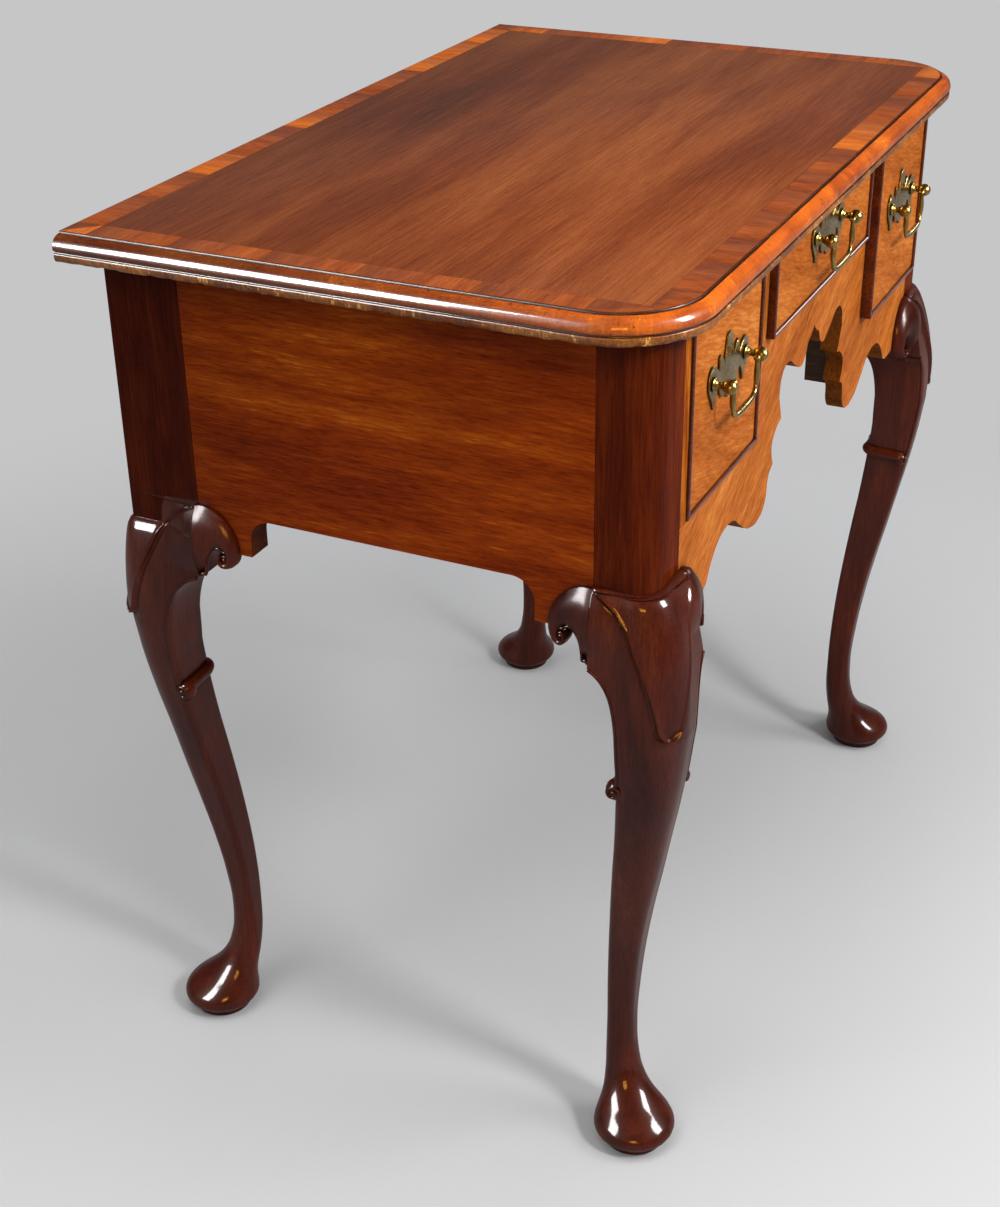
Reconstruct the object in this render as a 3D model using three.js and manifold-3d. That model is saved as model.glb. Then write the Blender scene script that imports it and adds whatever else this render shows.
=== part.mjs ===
// A lowboy: a small dressing table with three drawers in a row on four cabriole legs.
// Millimetres, +Z up, drawers facing -Y, origin on the floor under the middle of the top.

import * as THREE from 'three';
import { mergeVertices } from 'three/addons/utils/BufferGeometryUtils.js';
import Module from 'manifold-3d';

const wasm = await Module();
wasm.setup();

// Whole object
const HEIGHT = 715;
const CASE_WIDTH = 692;
const CASE_DEPTH = 426;
const SEAM = 0.3;
const OVERRUN = 5;

// Top board and its moulded edge
const TOP_THICKNESS = 20.5;
const TOP_END_OVERHANG = 14.7;
const TOP_FRONT_OVERHANG = 11.7;
const TOP_BACK_OVERHANG = 22;
const TOP_CORNER_RADIUS = 58;
const MOULD_REACH = 10.3;

// Case joinery
const FRONT_POST_WIDTH = 46;
const FRONT_POST_DEPTH = 43.5;
const BACK_POST_DEPTH = 62.6;
const FRONT_CORNER_RADIUS = 18;
const BACK_CORNER_RADIUS = 2.5;
const END_THICKNESS = 22;
const END_RISE = 75;
const END_ARCH_RISE = 32;
const END_ARCH_RADIUS = 18;
const END_ARCH_DROP_DEPTH = 44;
const BACK_THICKNESS = 12;
const BACK_RECESS = 4;
const BACK_RISE = 80;
const FRONT_THICKNESS = 15;

// Drawer openings in the front. A drop is measured down from the top's upper face.
const SIDE_OPENING_DROP = 172;
const CENTRE_OPENING_DROP = 96;
const CENTRE_OPENING_SHARE = 0.4618;
const STILE_WIDTH = 11;
const DIVIDER_WIDTH = 14;
const DIVIDER_DEPTH = 34;

// Shaped apron below the openings
const APRON_RISE = 67.5;
const APRON_RAIL = 32.5;
const APRON_EAR_SPAN = 53;
const APRON_BLOCK_WIDTH = 28;
const APRON_BLOCK_DEPTH = 24;
const APRON_BLOCK_HEIGHT = 42;

// Cabriole legs. What is called a rise is measured up from the knee, here and in the case joinery.
const FOOT_INSET_SIDE = 23;
const FOOT_INSET_FRONT = 12;
const FOOT_INSET_BACK = 20;
const DISC_RADIUS = 24.8;
const DISC_HEIGHT = 6.5;
const PAD_RADIUS = 32.5;
const ANKLE_HEIGHT = 100;
const ANKLE_SQUARE = 22;
const ANKLE_SET = 20;
const KNEE_DROP = 315;
const KNEE_SQUARE = 45;
const KNEE_REACH = 36;
const KNEE_ROUND = 30;
const KNEE_TOP_RISE = 106;
const BACK_KNEE_TOP_RISE = 86;
const ARCH_RISE = 52;
const LAPPET_RELIEF = 1.8;
const LAPPET_RISE = 7;
const LAPPET_STEP = 0.7;
const COLLAR_BELOW_KNEE = 58;
const COLLAR_RADIUS = 6.2;
const COLLAR_BALL_RADIUS = 7;
const COLLAR_BALL_SET = 7.4;
const COLLAR_BALL_HANG = 2;
const FRONT_LEFT_COLLAR_LIFT = 11;

// Carved ears beside the knees
const EAR_LENGTH = 35;
const EAR_DROP = 55;
const FRONT_EAR_DROP = 61;
const EAR_TOP_RISE = 111;
const EAR_LIFT = 8;
const EAR_RELIEF = 12.5;
const FRONT_EAR_RELIEF = 18;
const EAR_TIP_SHARE = 0.6;
const EAR_RETURN = 20;

// Drawers
const DRAWER_CLEARANCE = 0.7;
const DRAWER_TOP_CLEARANCE = 0.9;
const DRAWER_FRONT_THICKNESS = 17;
const DRAWER_BACK_GAP = 18;
const DRAWER_SIDE_THICKNESS = 8;
const DRAWER_BOTTOM_THICKNESS = 6;
const DRAWER_BOTTOM_LIFT = 6;
const DRAWER_SIDE_DROP = 9;
const GROOVE_DEPTH = 3;
const BEAD_WIDTH = 3.2;
const BEAD_PROUD = 2.5;
const BEAD_DEPTH = 10;
const BEAD_ROUND = 1.2;
const CENTRE_AJAR = 4;
const RIGHT_AJAR = 7.5;

// Drawer runners
const RUNNER_HEIGHT = 13;
const RUNNER_REACH = 20;
const GUIDE_WIDTH = 5.8;
const GUIDE_HEIGHT = 14;

// Brass handles
const SIDE_HANDLE_DROP = 85;
const CENTRE_HANDLE_DROP = 47;
const POST_SPACING = 66;
const PLATE_HALF_WIDTH = 41;
const SIDE_PLATE_RISE = 26.5;
const CENTRE_PLATE_RISE = 21.5;
const PLATE_DROP = 22;
const PLATE_THICKNESS = 1.8;
const HANDLE_POST_LENGTH = 17;
const HANDLE_POST_RADIUS = 3;
const HANDLE_BALL_RADIUS = 5.4;
const HANDLE_COLLAR_RADIUS = 5;
const HANDLE_COLLAR_THICKNESS = 2;
const BAIL_RADIUS = 2.7;
const BAIL_DROP = 28;
const BAIL_CORNER = 9;
const BAIL_PIN_RADIUS = 1.5;
const BAIL_BORE_RADIUS = 1.9;
const BAIL_PIN_DEPTH = 3.4;

const halfWidth = CASE_WIDTH / 2;
const halfDepth = CASE_DEPTH / 2;
const topUnderside = HEIGHT - TOP_THICKNESS;
const caseTop = topUnderside - SEAM;
const postInner = halfWidth - FRONT_POST_WIDTH;
const frontY = -halfDepth;
const frontBackY = frontY + FRONT_THICKNESS;
const backFrontY = halfDepth - BACK_RECESS - BACK_THICKNESS;

const kneeHeight = HEIGHT - KNEE_DROP;
const kneeTop = kneeHeight + KNEE_TOP_RISE;
const backKneeTop = kneeHeight + BACK_KNEE_TOP_RISE;
const archTop = kneeHeight + ARCH_RISE;
const lappetTip = kneeHeight + LAPPET_RISE;
const collarHeight = kneeHeight - COLLAR_BELOW_KNEE;
const earTop = kneeHeight + EAR_TOP_RISE;
const endLow = kneeHeight + END_RISE;
const backLow = kneeHeight + BACK_RISE;
const apronLow = kneeHeight + APRON_RISE;
const sideOpeningLow = HEIGHT - SIDE_OPENING_DROP;
const centreOpeningLow = HEIGHT - CENTRE_OPENING_DROP;
const apronRise = centreOpeningLow - APRON_RAIL - apronLow;
const apronSpread = postInner - APRON_EAR_SPAN;

// The openings share the width between the stiles, less the two dividers.
const sideOuter = postInner - STILE_WIDTH;
const dividerInner = CENTRE_OPENING_SHARE * (sideOuter - DIVIDER_WIDTH);
const sideInner = dividerInner + DIVIDER_WIDTH;
const sideOpeningWidth = sideOuter - sideInner;

const lowboy = new THREE.Group();

const walnut = new THREE.MeshStandardMaterial({ color: 0x6b3216, roughness: 0.35 });
const darkWalnut = new THREE.MeshStandardMaterial({ color: 0x3d1a10, roughness: 0.3 });
const topVeneer = new THREE.MeshStandardMaterial({ color: 0x86492e, roughness: 0.32 });
const frontVeneer = new THREE.MeshStandardMaterial({ color: 0xb46a38, roughness: 0.38 });
const innerWood = new THREE.MeshStandardMaterial({ color: 0xa07a50, roughness: 0.7 });
const agedBrass = new THREE.MeshStandardMaterial({ color: 0x8a8050, roughness: 0.35, metalness: 1 });

function add(name, geometry, material, parent = lowboy) {
  const mesh = new THREE.Mesh(geometry, material);
  mesh.name = name;
  parent.add(mesh);
  return mesh;
}

// Faces are turned to point out of the solid, also after a piece has been mirrored.
function outward(geometry) {
  const position = geometry.getAttribute('position');
  const index = geometry.getIndex();
  const a = new THREE.Vector3();
  const b = new THREE.Vector3();
  const c = new THREE.Vector3();
  let volume = 0;
  for (let i = 0; i < index.count; i += 3) {
    a.fromBufferAttribute(position, index.getX(i));
    b.fromBufferAttribute(position, index.getX(i + 1));
    c.fromBufferAttribute(position, index.getX(i + 2));
    volume += a.dot(b.cross(c));
  }
  if (volume < 0) {
    for (let i = 0; i < index.count; i += 3) {
      const first = index.getX(i);
      index.setX(i, index.getX(i + 2));
      index.setX(i + 2, first);
    }
  }
  return geometry;
}

function welded(geometry) {
  const plain = geometry.clone();
  for (const name of Object.keys(plain.attributes)) {
    if (name !== 'position') plain.deleteAttribute(name);
  }
  return mergeVertices(plain);
}

function mapped(geometry, place) {
  const result = welded(geometry);
  const position = result.getAttribute('position');
  for (let i = 0; i < position.count; i += 1) {
    const [x, y, z] = place(position.getX(i), position.getY(i), position.getZ(i));
    position.setXYZ(i, x, y, z);
  }
  return outward(result);
}

function solid(geometry) {
  const plain = welded(geometry);
  return new wasm.Manifold(new wasm.Mesh({
    numProp: 3,
    vertProperties: new Float32Array(plain.getAttribute('position').array),
    triVerts: new Uint32Array(plain.getIndex().array),
  }));
}

function geometryOf(manifold) {
  const mesh = manifold.getMesh();
  const geometry = new THREE.BufferGeometry();
  geometry.setAttribute('position', new THREE.BufferAttribute(mesh.vertProperties, 3));
  geometry.setIndex(new THREE.BufferAttribute(mesh.triVerts, 1));
  return geometry;
}

function block(x0, x1, y0, y1, z0, z1) {
  const box = new THREE.BoxGeometry(x1 - x0, y1 - y0, z1 - z0);
  return box.translate((x0 + x1) / 2, (y0 + y1) / 2, (z0 + z1) / 2);
}

// An outline drawn in (across, up) is given a depth. The place function says where the three go.
function board(shape, depth, place, options = {}) {
  const geometry = new THREE.ExtrudeGeometry(shape, { depth, bevelEnabled: false, ...options });
  return mapped(geometry, place);
}

// Closed rings of equal length are skinned one after another, and each end is closed by a fan from
// its first point.
function loft(rings) {
  const count = rings[0].length;
  const positions = rings.flat(2);
  const index = [];
  for (let r = 0; r + 1 < rings.length; r += 1) {
    for (let i = 0; i < count; i += 1) {
      const low = r * count + i;
      const lowNext = r * count + (i + 1) % count;
      index.push(low, lowNext, lowNext + count, low, lowNext + count, low + count);
    }
  }
  const last = (rings.length - 1) * count;
  for (let i = 1; i + 1 < count; i += 1) {
    index.push(0, i + 1, i, last, last + i, last + i + 1);
  }
  const geometry = new THREE.BufferGeometry();
  geometry.setAttribute('position', new THREE.Float32BufferAttribute(positions, 3));
  geometry.setIndex(index);
  return outward(geometry);
}

// Straight-line value between the rows of a share table whose first column rises.
function sampled(rows, at) {
  const last = rows.length - 1;
  if (at <= rows[0][0]) return rows[0];
  if (at >= rows[last][0]) return rows[last];
  const i = rows.findIndex((row) => row[0] > at) - 1;
  const t = (at - rows[i][0]) / (rows[i + 1][0] - rows[i][0]);
  return rows[i].map((value, k) => value + (rows[i + 1][k] - value) * t);
}

// Top board: the edge moulding runs along both ends and the front, and stops square at the back.
// Each row is a share of the moulding's reach and of the board's thickness, from the underside up.
const mouldingShares = [
  [0.62, 0], [0.80, 0.04], [0.90, 0.14], [0.86, 0.27], [0.70, 0.345], [0.74, 0.385],
  [0.95, 0.43], [1, 0.55], [0.91, 0.72], [0.64, 0.86], [0.3, 0.93], [0.03, 0.94], [0, 1],
];

function topOutline(reach, z) {
  const side = halfWidth + TOP_END_OVERHANG;
  const front = frontY - TOP_FRONT_OVERHANG;
  const back = halfDepth + TOP_BACK_OVERHANG;
  const cornerSteps = 9;
  const ring = [[-side - reach, back, z]];
  const turns = [[-side + TOP_CORNER_RADIUS, Math.PI], [side - TOP_CORNER_RADIUS, 1.5 * Math.PI]];
  for (const [centreX, start] of turns) {
    for (let i = 0; i <= cornerSteps; i += 1) {
      const angle = start + (i / cornerSteps) * Math.PI / 2;
      const radius = TOP_CORNER_RADIUS + reach;
      const x = centreX + radius * Math.cos(angle);
      const y = front + TOP_CORNER_RADIUS + radius * Math.sin(angle);
      ring.push([x, y, z]);
    }
  }
  ring.push([side + reach, back, z]);
  return ring;
}

function topBoard() {
  return loft(mouldingShares.map(([reachShare, heightShare]) => (
    topOutline(reachShare * MOULD_REACH, topUnderside + heightShare * TOP_THICKNESS)
  )));
}

add('top_board', topBoard(), topVeneer);

// Cabriole legs. A leg is drawn in its own corner frame: u and v run outward along the end and the
// front, from the middle of the foot. Foot rows: height as a share of the ankle's height, set back
// as a share of the ankle's, and how far the half width has grown from the ankle's to the pad's.
const footShares = [
  [0.068, 0, 0.77], [0.11, 0, 0.955], [0.16, 0, 1], [0.21, 0.04, 0.93], [0.27, 0.17, 0.76],
  [0.34, 0.37, 0.53], [0.42, 0.58, 0.34], [0.52, 0.77, 0.2], [0.7, 0.94, 0.08], [1, 1, 0],
];

// Shaft rows: height as a share from ankle to knee, and how far the inner faces and the square
// have gone from the ankle's to the knee's.
const shaftShares = [
  [0, 0, 0], [0.133, 0.044, 0.04], [0.267, 0.142, 0.146], [0.4, 0.293, 0.29], [0.533, 0.48, 0.46],
  [0.667, 0.684, 0.61], [0.767, 0.81, 0.745], [0.867, 0.907, 0.87], [1, 1, 1],
];

// Crown rows: height as a share from the knee to its top, and how much of the knee's reach past
// the post is left.
const crownShares = [
  [0, 1], [0.18, 1], [0.4, 0.89], [0.6, 0.65], [0.77, 0.37], [0.9, 0.16], [1, -0.03],
];

// Rounding rows: height as a share of the knee's height, then the inner, side and outer corner
// radii as shares of half the section's width.
const roundShares = [
  [0, 1, 1, 1], [0.13, 1, 1, 1], [0.25, 0.5, 0.66, 0.85], [0.5, 0.24, 0.4, 0.62],
  [0.75, 0.14, 0.3, 1.2], [1, 0.1, 0.24, 1.33],
];

// Lappet rows: height as a share from its tip to the knee's top, and half its width as a share of
// the run round the outside of the leg.
const lappetShares = [
  [0, 0.04], [0.05, 0.1], [0.35, 0.22], [1, 0.42],
];

function arcPoints(centreU, centreV, radius, start, steps) {
  const points = [];
  for (let i = 0; i <= steps; i += 1) {
    const angle = start + (i / steps) * Math.PI / 2;
    points.push([centreU + radius * Math.cos(angle), centreV + radius * Math.sin(angle)]);
  }
  return points;
}

function alongOutside(points, share) {
  const lengths = points.slice(1).map((p, i) => Math.hypot(p[0] - points[i][0], p[1] - points[i][1]));
  let left = share * lengths.reduce((sum, length) => sum + length, 0);
  for (let i = 0; i < lengths.length; i += 1) {
    if (left <= lengths[i] || i === lengths.length - 1) {
      const t = Math.min(1, left / lengths[i]);
      const du = points[i + 1][0] - points[i][0];
      const dv = points[i + 1][1] - points[i][1];
      return [points[i][0] + du * t, points[i][1] + dv * t, dv / lengths[i], -du / lengths[i]];
    }
    left -= lengths[i];
  }
  return points[0];
}

// One section: a square with four rounded corners, and the lappet standing proud of its outside.
function legSection(box, radii, lappet, relief) {
  const [u0, u1, v0, v1] = box;
  const [inner, side, outer] = radii;
  const quarter = Math.PI / 2;
  const innerCorner = arcPoints(u0 + inner, v0 + inner, inner, 2 * quarter, 3);
  const sideA = arcPoints(u1 - side, v0 + side, side, 3 * quarter, 3);
  const sideB = arcPoints(u0 + side, v1 - side, side, quarter, 3);
  const outside = [sideA.at(-1), ...arcPoints(u1 - outer, v1 - outer, outer, 0, 10), sideB[0]];
  const run = outside.slice(1).reduce((sum, p, i) => (
    sum + Math.hypot(p[0] - outside[i][0], p[1] - outside[i][1])), 0);
  const stepShare = LAPPET_STEP / run;
  const low = 0.5 - lappet;
  const high = 0.5 + lappet;
  const middle = [];
  const middleSteps = 3;
  for (let i = 0; i <= middleSteps; i += 1) {
    middle.push([low + stepShare + (high - low - 2 * stepShare) * (i / middleSteps), relief]);
  }
  const plain = [low / 3, 2 * low / 3].map((share) => [share, 0]);
  const mirrored = plain.map(([share]) => [1 - share, 0]).reverse();
  const proud = [...plain, [low, 0], ...middle, [high, 0], ...mirrored].map(([share, lift]) => {
    const [u, v, nu, nv] = alongOutside(outside, share);
    return [u + nu * lift, v + nv * lift];
  });
  return [...innerCorner, ...sideA, ...proud, ...sideB];
}

function cabriole(post, crownTop, cornerRadius) {
  const ankleHalf = ANKLE_SQUARE / 2;
  const ankleInner = -ANKLE_SET - ankleHalf;
  const kneeInner = KNEE_REACH - KNEE_SQUARE;
  const rings = [];
  const ring = (box, z, radiiShares, lappet, relief, limit) => {
    const half = Math.min(box[1] - box[0], box[3] - box[2]) / 2;
    const radii = radiiShares.map((share) => Math.min(share * half, limit ?? 1.5 * half));
    rings.push(legSection(box, radii, lappet, relief).map(([u, v]) => [u, v, z]));
  };
  const noLappet = lappetShares.at(-1)[1];
  const gatherShare = 0.4;
  const square = (centre, half) => [centre - half, centre + half, centre - half, centre + half];
  const round = [1, 1, 1];
  ring(square(0, DISC_RADIUS), 0, round, noLappet, 0);
  ring(square(0, DISC_RADIUS), DISC_HEIGHT, round, noLappet, 0);
  for (const [heightShare, setShare, swellShare] of footShares) {
    const z = heightShare * ANKLE_HEIGHT;
    const half = ankleHalf + swellShare * (PAD_RADIUS - ankleHalf);
    const radiiShares = sampled(roundShares, z / kneeHeight).slice(1);
    ring(square(-setShare * ANKLE_SET, half), z, radiiShares, noLappet, 0);
  }
  for (const [heightShare, innerShare, squareShare] of shaftShares.slice(1)) {
    const z = ANKLE_HEIGHT + heightShare * (kneeHeight - ANKLE_HEIGHT);
    const inner = ankleInner + innerShare * (kneeInner - ankleInner);
    const outer = inner + ANKLE_SQUARE + squareShare * (KNEE_SQUARE - ANKLE_SQUARE);
    const gather = Math.max(0, (heightShare - gatherShare) / (1 - gatherShare));
    const spread = noLappet + gather * (lappetShares[0][1] - noLappet);
    ring([inner, outer, inner, outer], z, sampled(roundShares, z / kneeHeight).slice(1), spread, 0);
  }
  const kneeBox = [kneeInner, KNEE_REACH, kneeInner, KNEE_REACH];
  ring(kneeBox, lappetTip - LAPPET_RELIEF, roundShares.at(-1).slice(1), lappetShares[0][1], 0);
  // Above the knee the inner faces sweep out in a quarter arch to meet the post.
  const heights = new Set([lappetTip]);
  for (const row of lappetShares.slice(1, -1)) {
    heights.add(lappetTip + row[0] * (kneeTop - lappetTip));
  }
  for (const row of crownShares.slice(1)) {
    heights.add(kneeHeight + row[0] * (crownTop - kneeHeight));
  }
  const archSteps = 3;
  for (let i = 1; i <= archSteps; i += 1) {
    heights.add(lappetTip + (archTop - lappetTip) * Math.sin((i / archSteps) * Math.PI / 2));
  }
  const ordered = [...heights].filter((z) => z >= lappetTip && z <= crownTop).sort((a, b) => a - b);
  const spaced = ordered.filter((z, i) => i === 0 || z - ordered[i - 1] > LAPPET_STEP / 2);
  for (const z of spaced) {
    const rise = Math.min(1, (z - lappetTip) / (archTop - lappetTip));
    const flare = 1 - Math.sqrt(1 - rise * rise);
    const reach = sampled(crownShares, (z - kneeHeight) / (crownTop - kneeHeight))[1];
    const innerU = kneeInner + flare * (post.u0 - kneeInner);
    const innerV = kneeInner + flare * (post.v0 - kneeInner);
    const outerU = post.u1 + reach * (KNEE_REACH - post.u1);
    const outerV = post.v1 + reach * (KNEE_REACH - post.v1);
    const lappetRow = sampled(lappetShares, (z - lappetTip) / (kneeTop - lappetTip));
    const relief = LAPPET_RELIEF * Math.min(1, 2 * Math.max(0, reach));
    const roundness = cornerRadius + Math.max(0, reach) * (KNEE_ROUND - cornerRadius);
    const half = Math.min(outerU - innerU, outerV - innerV) / 2;
    const shares = [roundShares.at(-1)[1], roundShares.at(-1)[2], roundness / half];
    ring([innerU, outerU, innerV, outerV], z, shares, lappetRow[1], relief, roundness);
  }
  return loft(rings);
}

// The collar is a rolled bead that wraps the inner corner and ends in a small ball on each side.
function collar(lift) {
  const height = collarHeight + lift;
  const share = (height - ANKLE_HEIGHT) / (kneeHeight - ANKLE_HEIGHT);
  const [, innerShare, squareShare] = sampled(shaftShares, share);
  const ankleInner = -ANKLE_SET - ANKLE_SQUARE / 2;
  const inner = ankleInner + innerShare * (KNEE_REACH - KNEE_SQUARE - ankleInner);
  const width = ANKLE_SQUARE + squareShare * (KNEE_SQUARE - ANKLE_SQUARE);
  const near = inner - SEAM;
  const far = inner + width - COLLAR_BALL_SET;
  const bend = COLLAR_RADIUS;
  const path = new THREE.CurvePath();
  const at = (u, v) => new THREE.Vector3(u, v, height);
  path.add(new THREE.LineCurve3(at(far, near), at(near + bend, near)));
  path.add(new THREE.QuadraticBezierCurve3(at(near + bend, near), at(near, near), at(near, near + bend)));
  path.add(new THREE.LineCurve3(at(near, near + bend), at(near, far)));
  const section = new THREE.Shape();
  section.absarc(0, 0, COLLAR_RADIUS, 0, 2 * Math.PI);
  const roll = new THREE.ExtrudeGeometry(section, { steps: 6, curveSegments: 4, extrudePath: path });
  let whole = solid(outward(welded(roll)));
  for (const [u, v] of [[far, near], [near, far]]) {
    const ball = new THREE.SphereGeometry(COLLAR_BALL_RADIUS, 8, 5);
    whole = whole.add(solid(ball.translate(u, v, height - COLLAR_BALL_HANG)));
  }
  return whole;
}

// The knee spreads over the post towards the ear beside it, and the ear carries on its dome.
// Dome rows: how far from the top edge to the lower edge, and the share of the relief there.
const domeShares = [[0, 0.3], [0.08, 0.7], [0.2, 0.93], [0.45, 1], [0.8, 0.88], [1, 0.45]];

// Knee face rows: across the post from the ear's joint, and how far the dome has given way there
// to the knee's own crown.
const kneeFaceShares = [[0, 0], [0.16, 0.16], [0.32, 0.5], [0.47, 0.85], [0.6, 1.02]];

function kneeFace(width, reach, crownTop, earRelief) {
  const low = archTop - OVERRUN;
  return loft(kneeFaceShares.map(([acrossShare, giveShare]) => {
    const top = earTop + giveShare * (crownTop - earTop);
    const rows = domeShares.map(([dropShare, reliefShare]) => {
      const z = top + dropShare * (low - top);
      const crown = sampled(crownShares, (z - kneeHeight) / (crownTop - kneeHeight))[1];
      const relief = (1 - giveShare) * reliefShare * earRelief + giveShare * Math.max(0, crown) * reach;
      return [-acrossShare * width, z, relief];
    });
    return [[-acrossShare * width, top, -OVERRUN], ...rows, [-acrossShare * width, low, -OVERRUN]];
  }));
}

function postSpan(isFront) {
  const insetY = isFront ? FOOT_INSET_FRONT : FOOT_INSET_BACK;
  const depth = isFront ? FRONT_POST_DEPTH : BACK_POST_DEPTH;
  return {
    u0: FOOT_INSET_SIDE - FRONT_POST_WIDTH,
    u1: FOOT_INSET_SIDE,
    v0: insetY - depth,
    v1: insetY,
  };
}

function postBlock(post, radius) {
  const shape = new THREE.Shape();
  shape.moveTo(post.u0, post.v0);
  shape.lineTo(post.u1, post.v0);
  shape.lineTo(post.u1, post.v1 - radius);
  shape.absarc(post.u1 - radius, post.v1 - radius, radius, 0, Math.PI / 2, false);
  shape.lineTo(post.u0, post.v1);
  const low = archTop - SEAM;
  return board(shape, caseTop - low, (u, v, w) => [u, v, low + w], { curveSegments: 6 });
}

function legBody(isFront, collarLift) {
  const post = postSpan(isFront);
  const radius = isFront ? FRONT_CORNER_RADIUS : BACK_CORNER_RADIUS;
  const crownTop = isFront ? kneeTop : backKneeTop;
  let body = solid(cabriole(post, crownTop, radius)).add(solid(postBlock(post, radius)));
  body = body.add(collar(collarLift));
  const depth = post.v1 - post.v0;
  const width = post.u1 - post.u0;
  const endFace = kneeFace(depth, KNEE_REACH - post.u1, crownTop, EAR_RELIEF);
  const onEnd = mapped(endFace, (a, b, w) => [post.u1 + w, post.v0 - a, b]);
  const inside = solid(block(post.u0, halfWidth, post.v0, halfWidth, 0, HEIGHT));
  body = body.add(solid(onEnd).intersect(inside));
  if (isFront) {
    const frontFace = kneeFace(width, KNEE_REACH - post.v1, crownTop, FRONT_EAR_RELIEF);
    const onFront = mapped(frontFace, (a, b, w) => [post.u0 - a, post.v1 + w, b]);
    body = body.add(solid(onFront).intersect(inside));
  }
  return body;
}

// The collar on the front left leg sits a little higher than the other three.
const frontLeftLeg = geometryOf(legBody(true, FRONT_LEFT_COLLAR_LIFT));
const frontRightLeg = geometryOf(legBody(true, 0));
const backLeg = geometryOf(legBody(false, 0));
const corners = [
  ['front_left', -1, -1, frontLeftLeg], ['front_right', 1, -1, frontRightLeg],
  ['back_left', -1, 1, backLeg], ['back_right', 1, 1, backLeg],
];

function footCentre(sideX, sideY) {
  const inset = sideY < 0 ? FOOT_INSET_FRONT : FOOT_INSET_BACK;
  return [sideX * (halfWidth - FOOT_INSET_SIDE), sideY * (halfDepth - inset)];
}

for (const [corner, sideX, sideY, body] of corners) {
  const [footX, footY] = footCentre(sideX, sideY);
  const place = (u, v, z) => [footX + sideX * u, footY + sideY * v, z];
  add(`leg_${corner}`, mapped(body, place), darkWalnut);
}

// An ear is a C-scroll beside the knee. Each row is a place along it: across and drop of its outer
// edge, then of its inner edge, from its top at the joint round to the volute at its tip.
const earShares = [
  [0, 0, 0, 1.02], [0.2, 0.01, 0.15, 1], [0.38, 0.06, 0.2, 0.87], [0.56, 0.145, 0.25, 0.765],
  [0.74, 0.26, 0.35, 0.715], [0.9, 0.43, 0.49, 0.71], [1, 0.68, 0.59, 0.78], [0.94, 0.88, 0.56, 0.83],
  [0.75, 0.99, 0.51, 0.815], [0.5, 1, 0.47, 0.805], [0.35, 0.9, 0.42, 0.83],
];

function earRings(drop, lift, earRelief) {
  return earShares.map(([outAcross, outDrop, inAcross, inDrop]) => {
    const point = (t) => {
      const acrossShare = outAcross + t * (inAcross - outAcross);
      const dropShare = outDrop + t * (inDrop - outDrop);
      return [acrossShare * EAR_LENGTH, earTop - dropShare * (drop - acrossShare * lift)];
    };
    const relief = earRelief * (1 - outAcross * (1 - EAR_TIP_SHARE));
    const front = domeShares.map(([t, reliefShare]) => [...point(t), reliefShare * relief]);
    return [[...point(0), -EAR_RETURN], ...front, [...point(1), -EAR_RETURN]];
  });
}

// In front of the panel the ear is carved proud, and below the panel's edge it is thicker.
function ear(panelLow, drop, lift, earRelief) {
  const carved = solid(loft(earRings(drop, lift, earRelief)));
  const front = block(SEAM, 2 * EAR_LENGTH, 0, HEIGHT, SEAM, HEIGHT);
  const under = block(SEAM, 2 * EAR_LENGTH, 0, panelLow - SEAM, -EAR_RETURN, 2 * SEAM);
  return geometryOf(carved.intersect(solid(front).add(solid(under))));
}

const endEars = {
  front: ear(endLow, EAR_DROP, EAR_LIFT, EAR_RELIEF),
  back: ear(endLow, EAR_DROP, 0, EAR_RELIEF),
};
const frontEar = ear(apronLow, FRONT_EAR_DROP, 0, FRONT_EAR_RELIEF);

for (const [corner, sideX, sideY] of corners) {
  const [, footY] = footCentre(sideX, sideY);
  const post = postSpan(sideY < 0);
  const startY = footY + sideY * post.v0;
  const placeEnd = (a, b, w) => [sideX * (halfWidth + w), startY - sideY * a, b];
  add(`ear_end_${corner}`, mapped(endEars[sideY < 0 ? 'front' : 'back'], placeEnd), darkWalnut);
  if (sideY < 0) {
    const placeFront = (a, b, w) => [sideX * (postInner - a), frontY - w, b];
    add(`ear_${corner}`, mapped(frontEar, placeFront), darkWalnut);
  }
}

// End panels between the posts. The lower edge is an arch with a hollow quarter at each end.
function endPanelShape() {
  const y0 = frontY + FRONT_POST_DEPTH + SEAM;
  const y1 = halfDepth - BACK_POST_DEPTH - SEAM;
  const archLeft = y0 + END_ARCH_DROP_DEPTH;
  const archRight = y1 - END_ARCH_DROP_DEPTH;
  const crown = endLow + END_ARCH_RISE;
  const shape = new THREE.Shape();
  shape.moveTo(y0, endLow);
  shape.lineTo(archLeft, endLow);
  shape.lineTo(archLeft, crown - END_ARCH_RADIUS);
  const bend = END_ARCH_RADIUS;
  shape.absarc(archLeft + bend, crown - bend, bend, Math.PI, Math.PI / 2, true);
  shape.absarc(archRight - bend, crown - bend, bend, Math.PI / 2, 0, true);
  shape.lineTo(archRight, endLow);
  shape.lineTo(y1, endLow);
  shape.lineTo(y1, caseTop);
  shape.lineTo(y0, caseTop);
  return shape;
}

for (const [side, sideX] of [['left', -1], ['right', 1]]) {
  const place = (a, b, w) => [sideX * (halfWidth - w), a, b];
  add(`end_panel_${side}`, board(endPanelShape(), END_THICKNESS, place, { curveSegments: 6 }), walnut);
}

const backInner = postInner - SEAM;
const backFace = halfDepth - BACK_RECESS;
add('back_board', block(-backInner, backInner, backFrontY, backFace, backLow, caseTop), innerWood);

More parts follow.
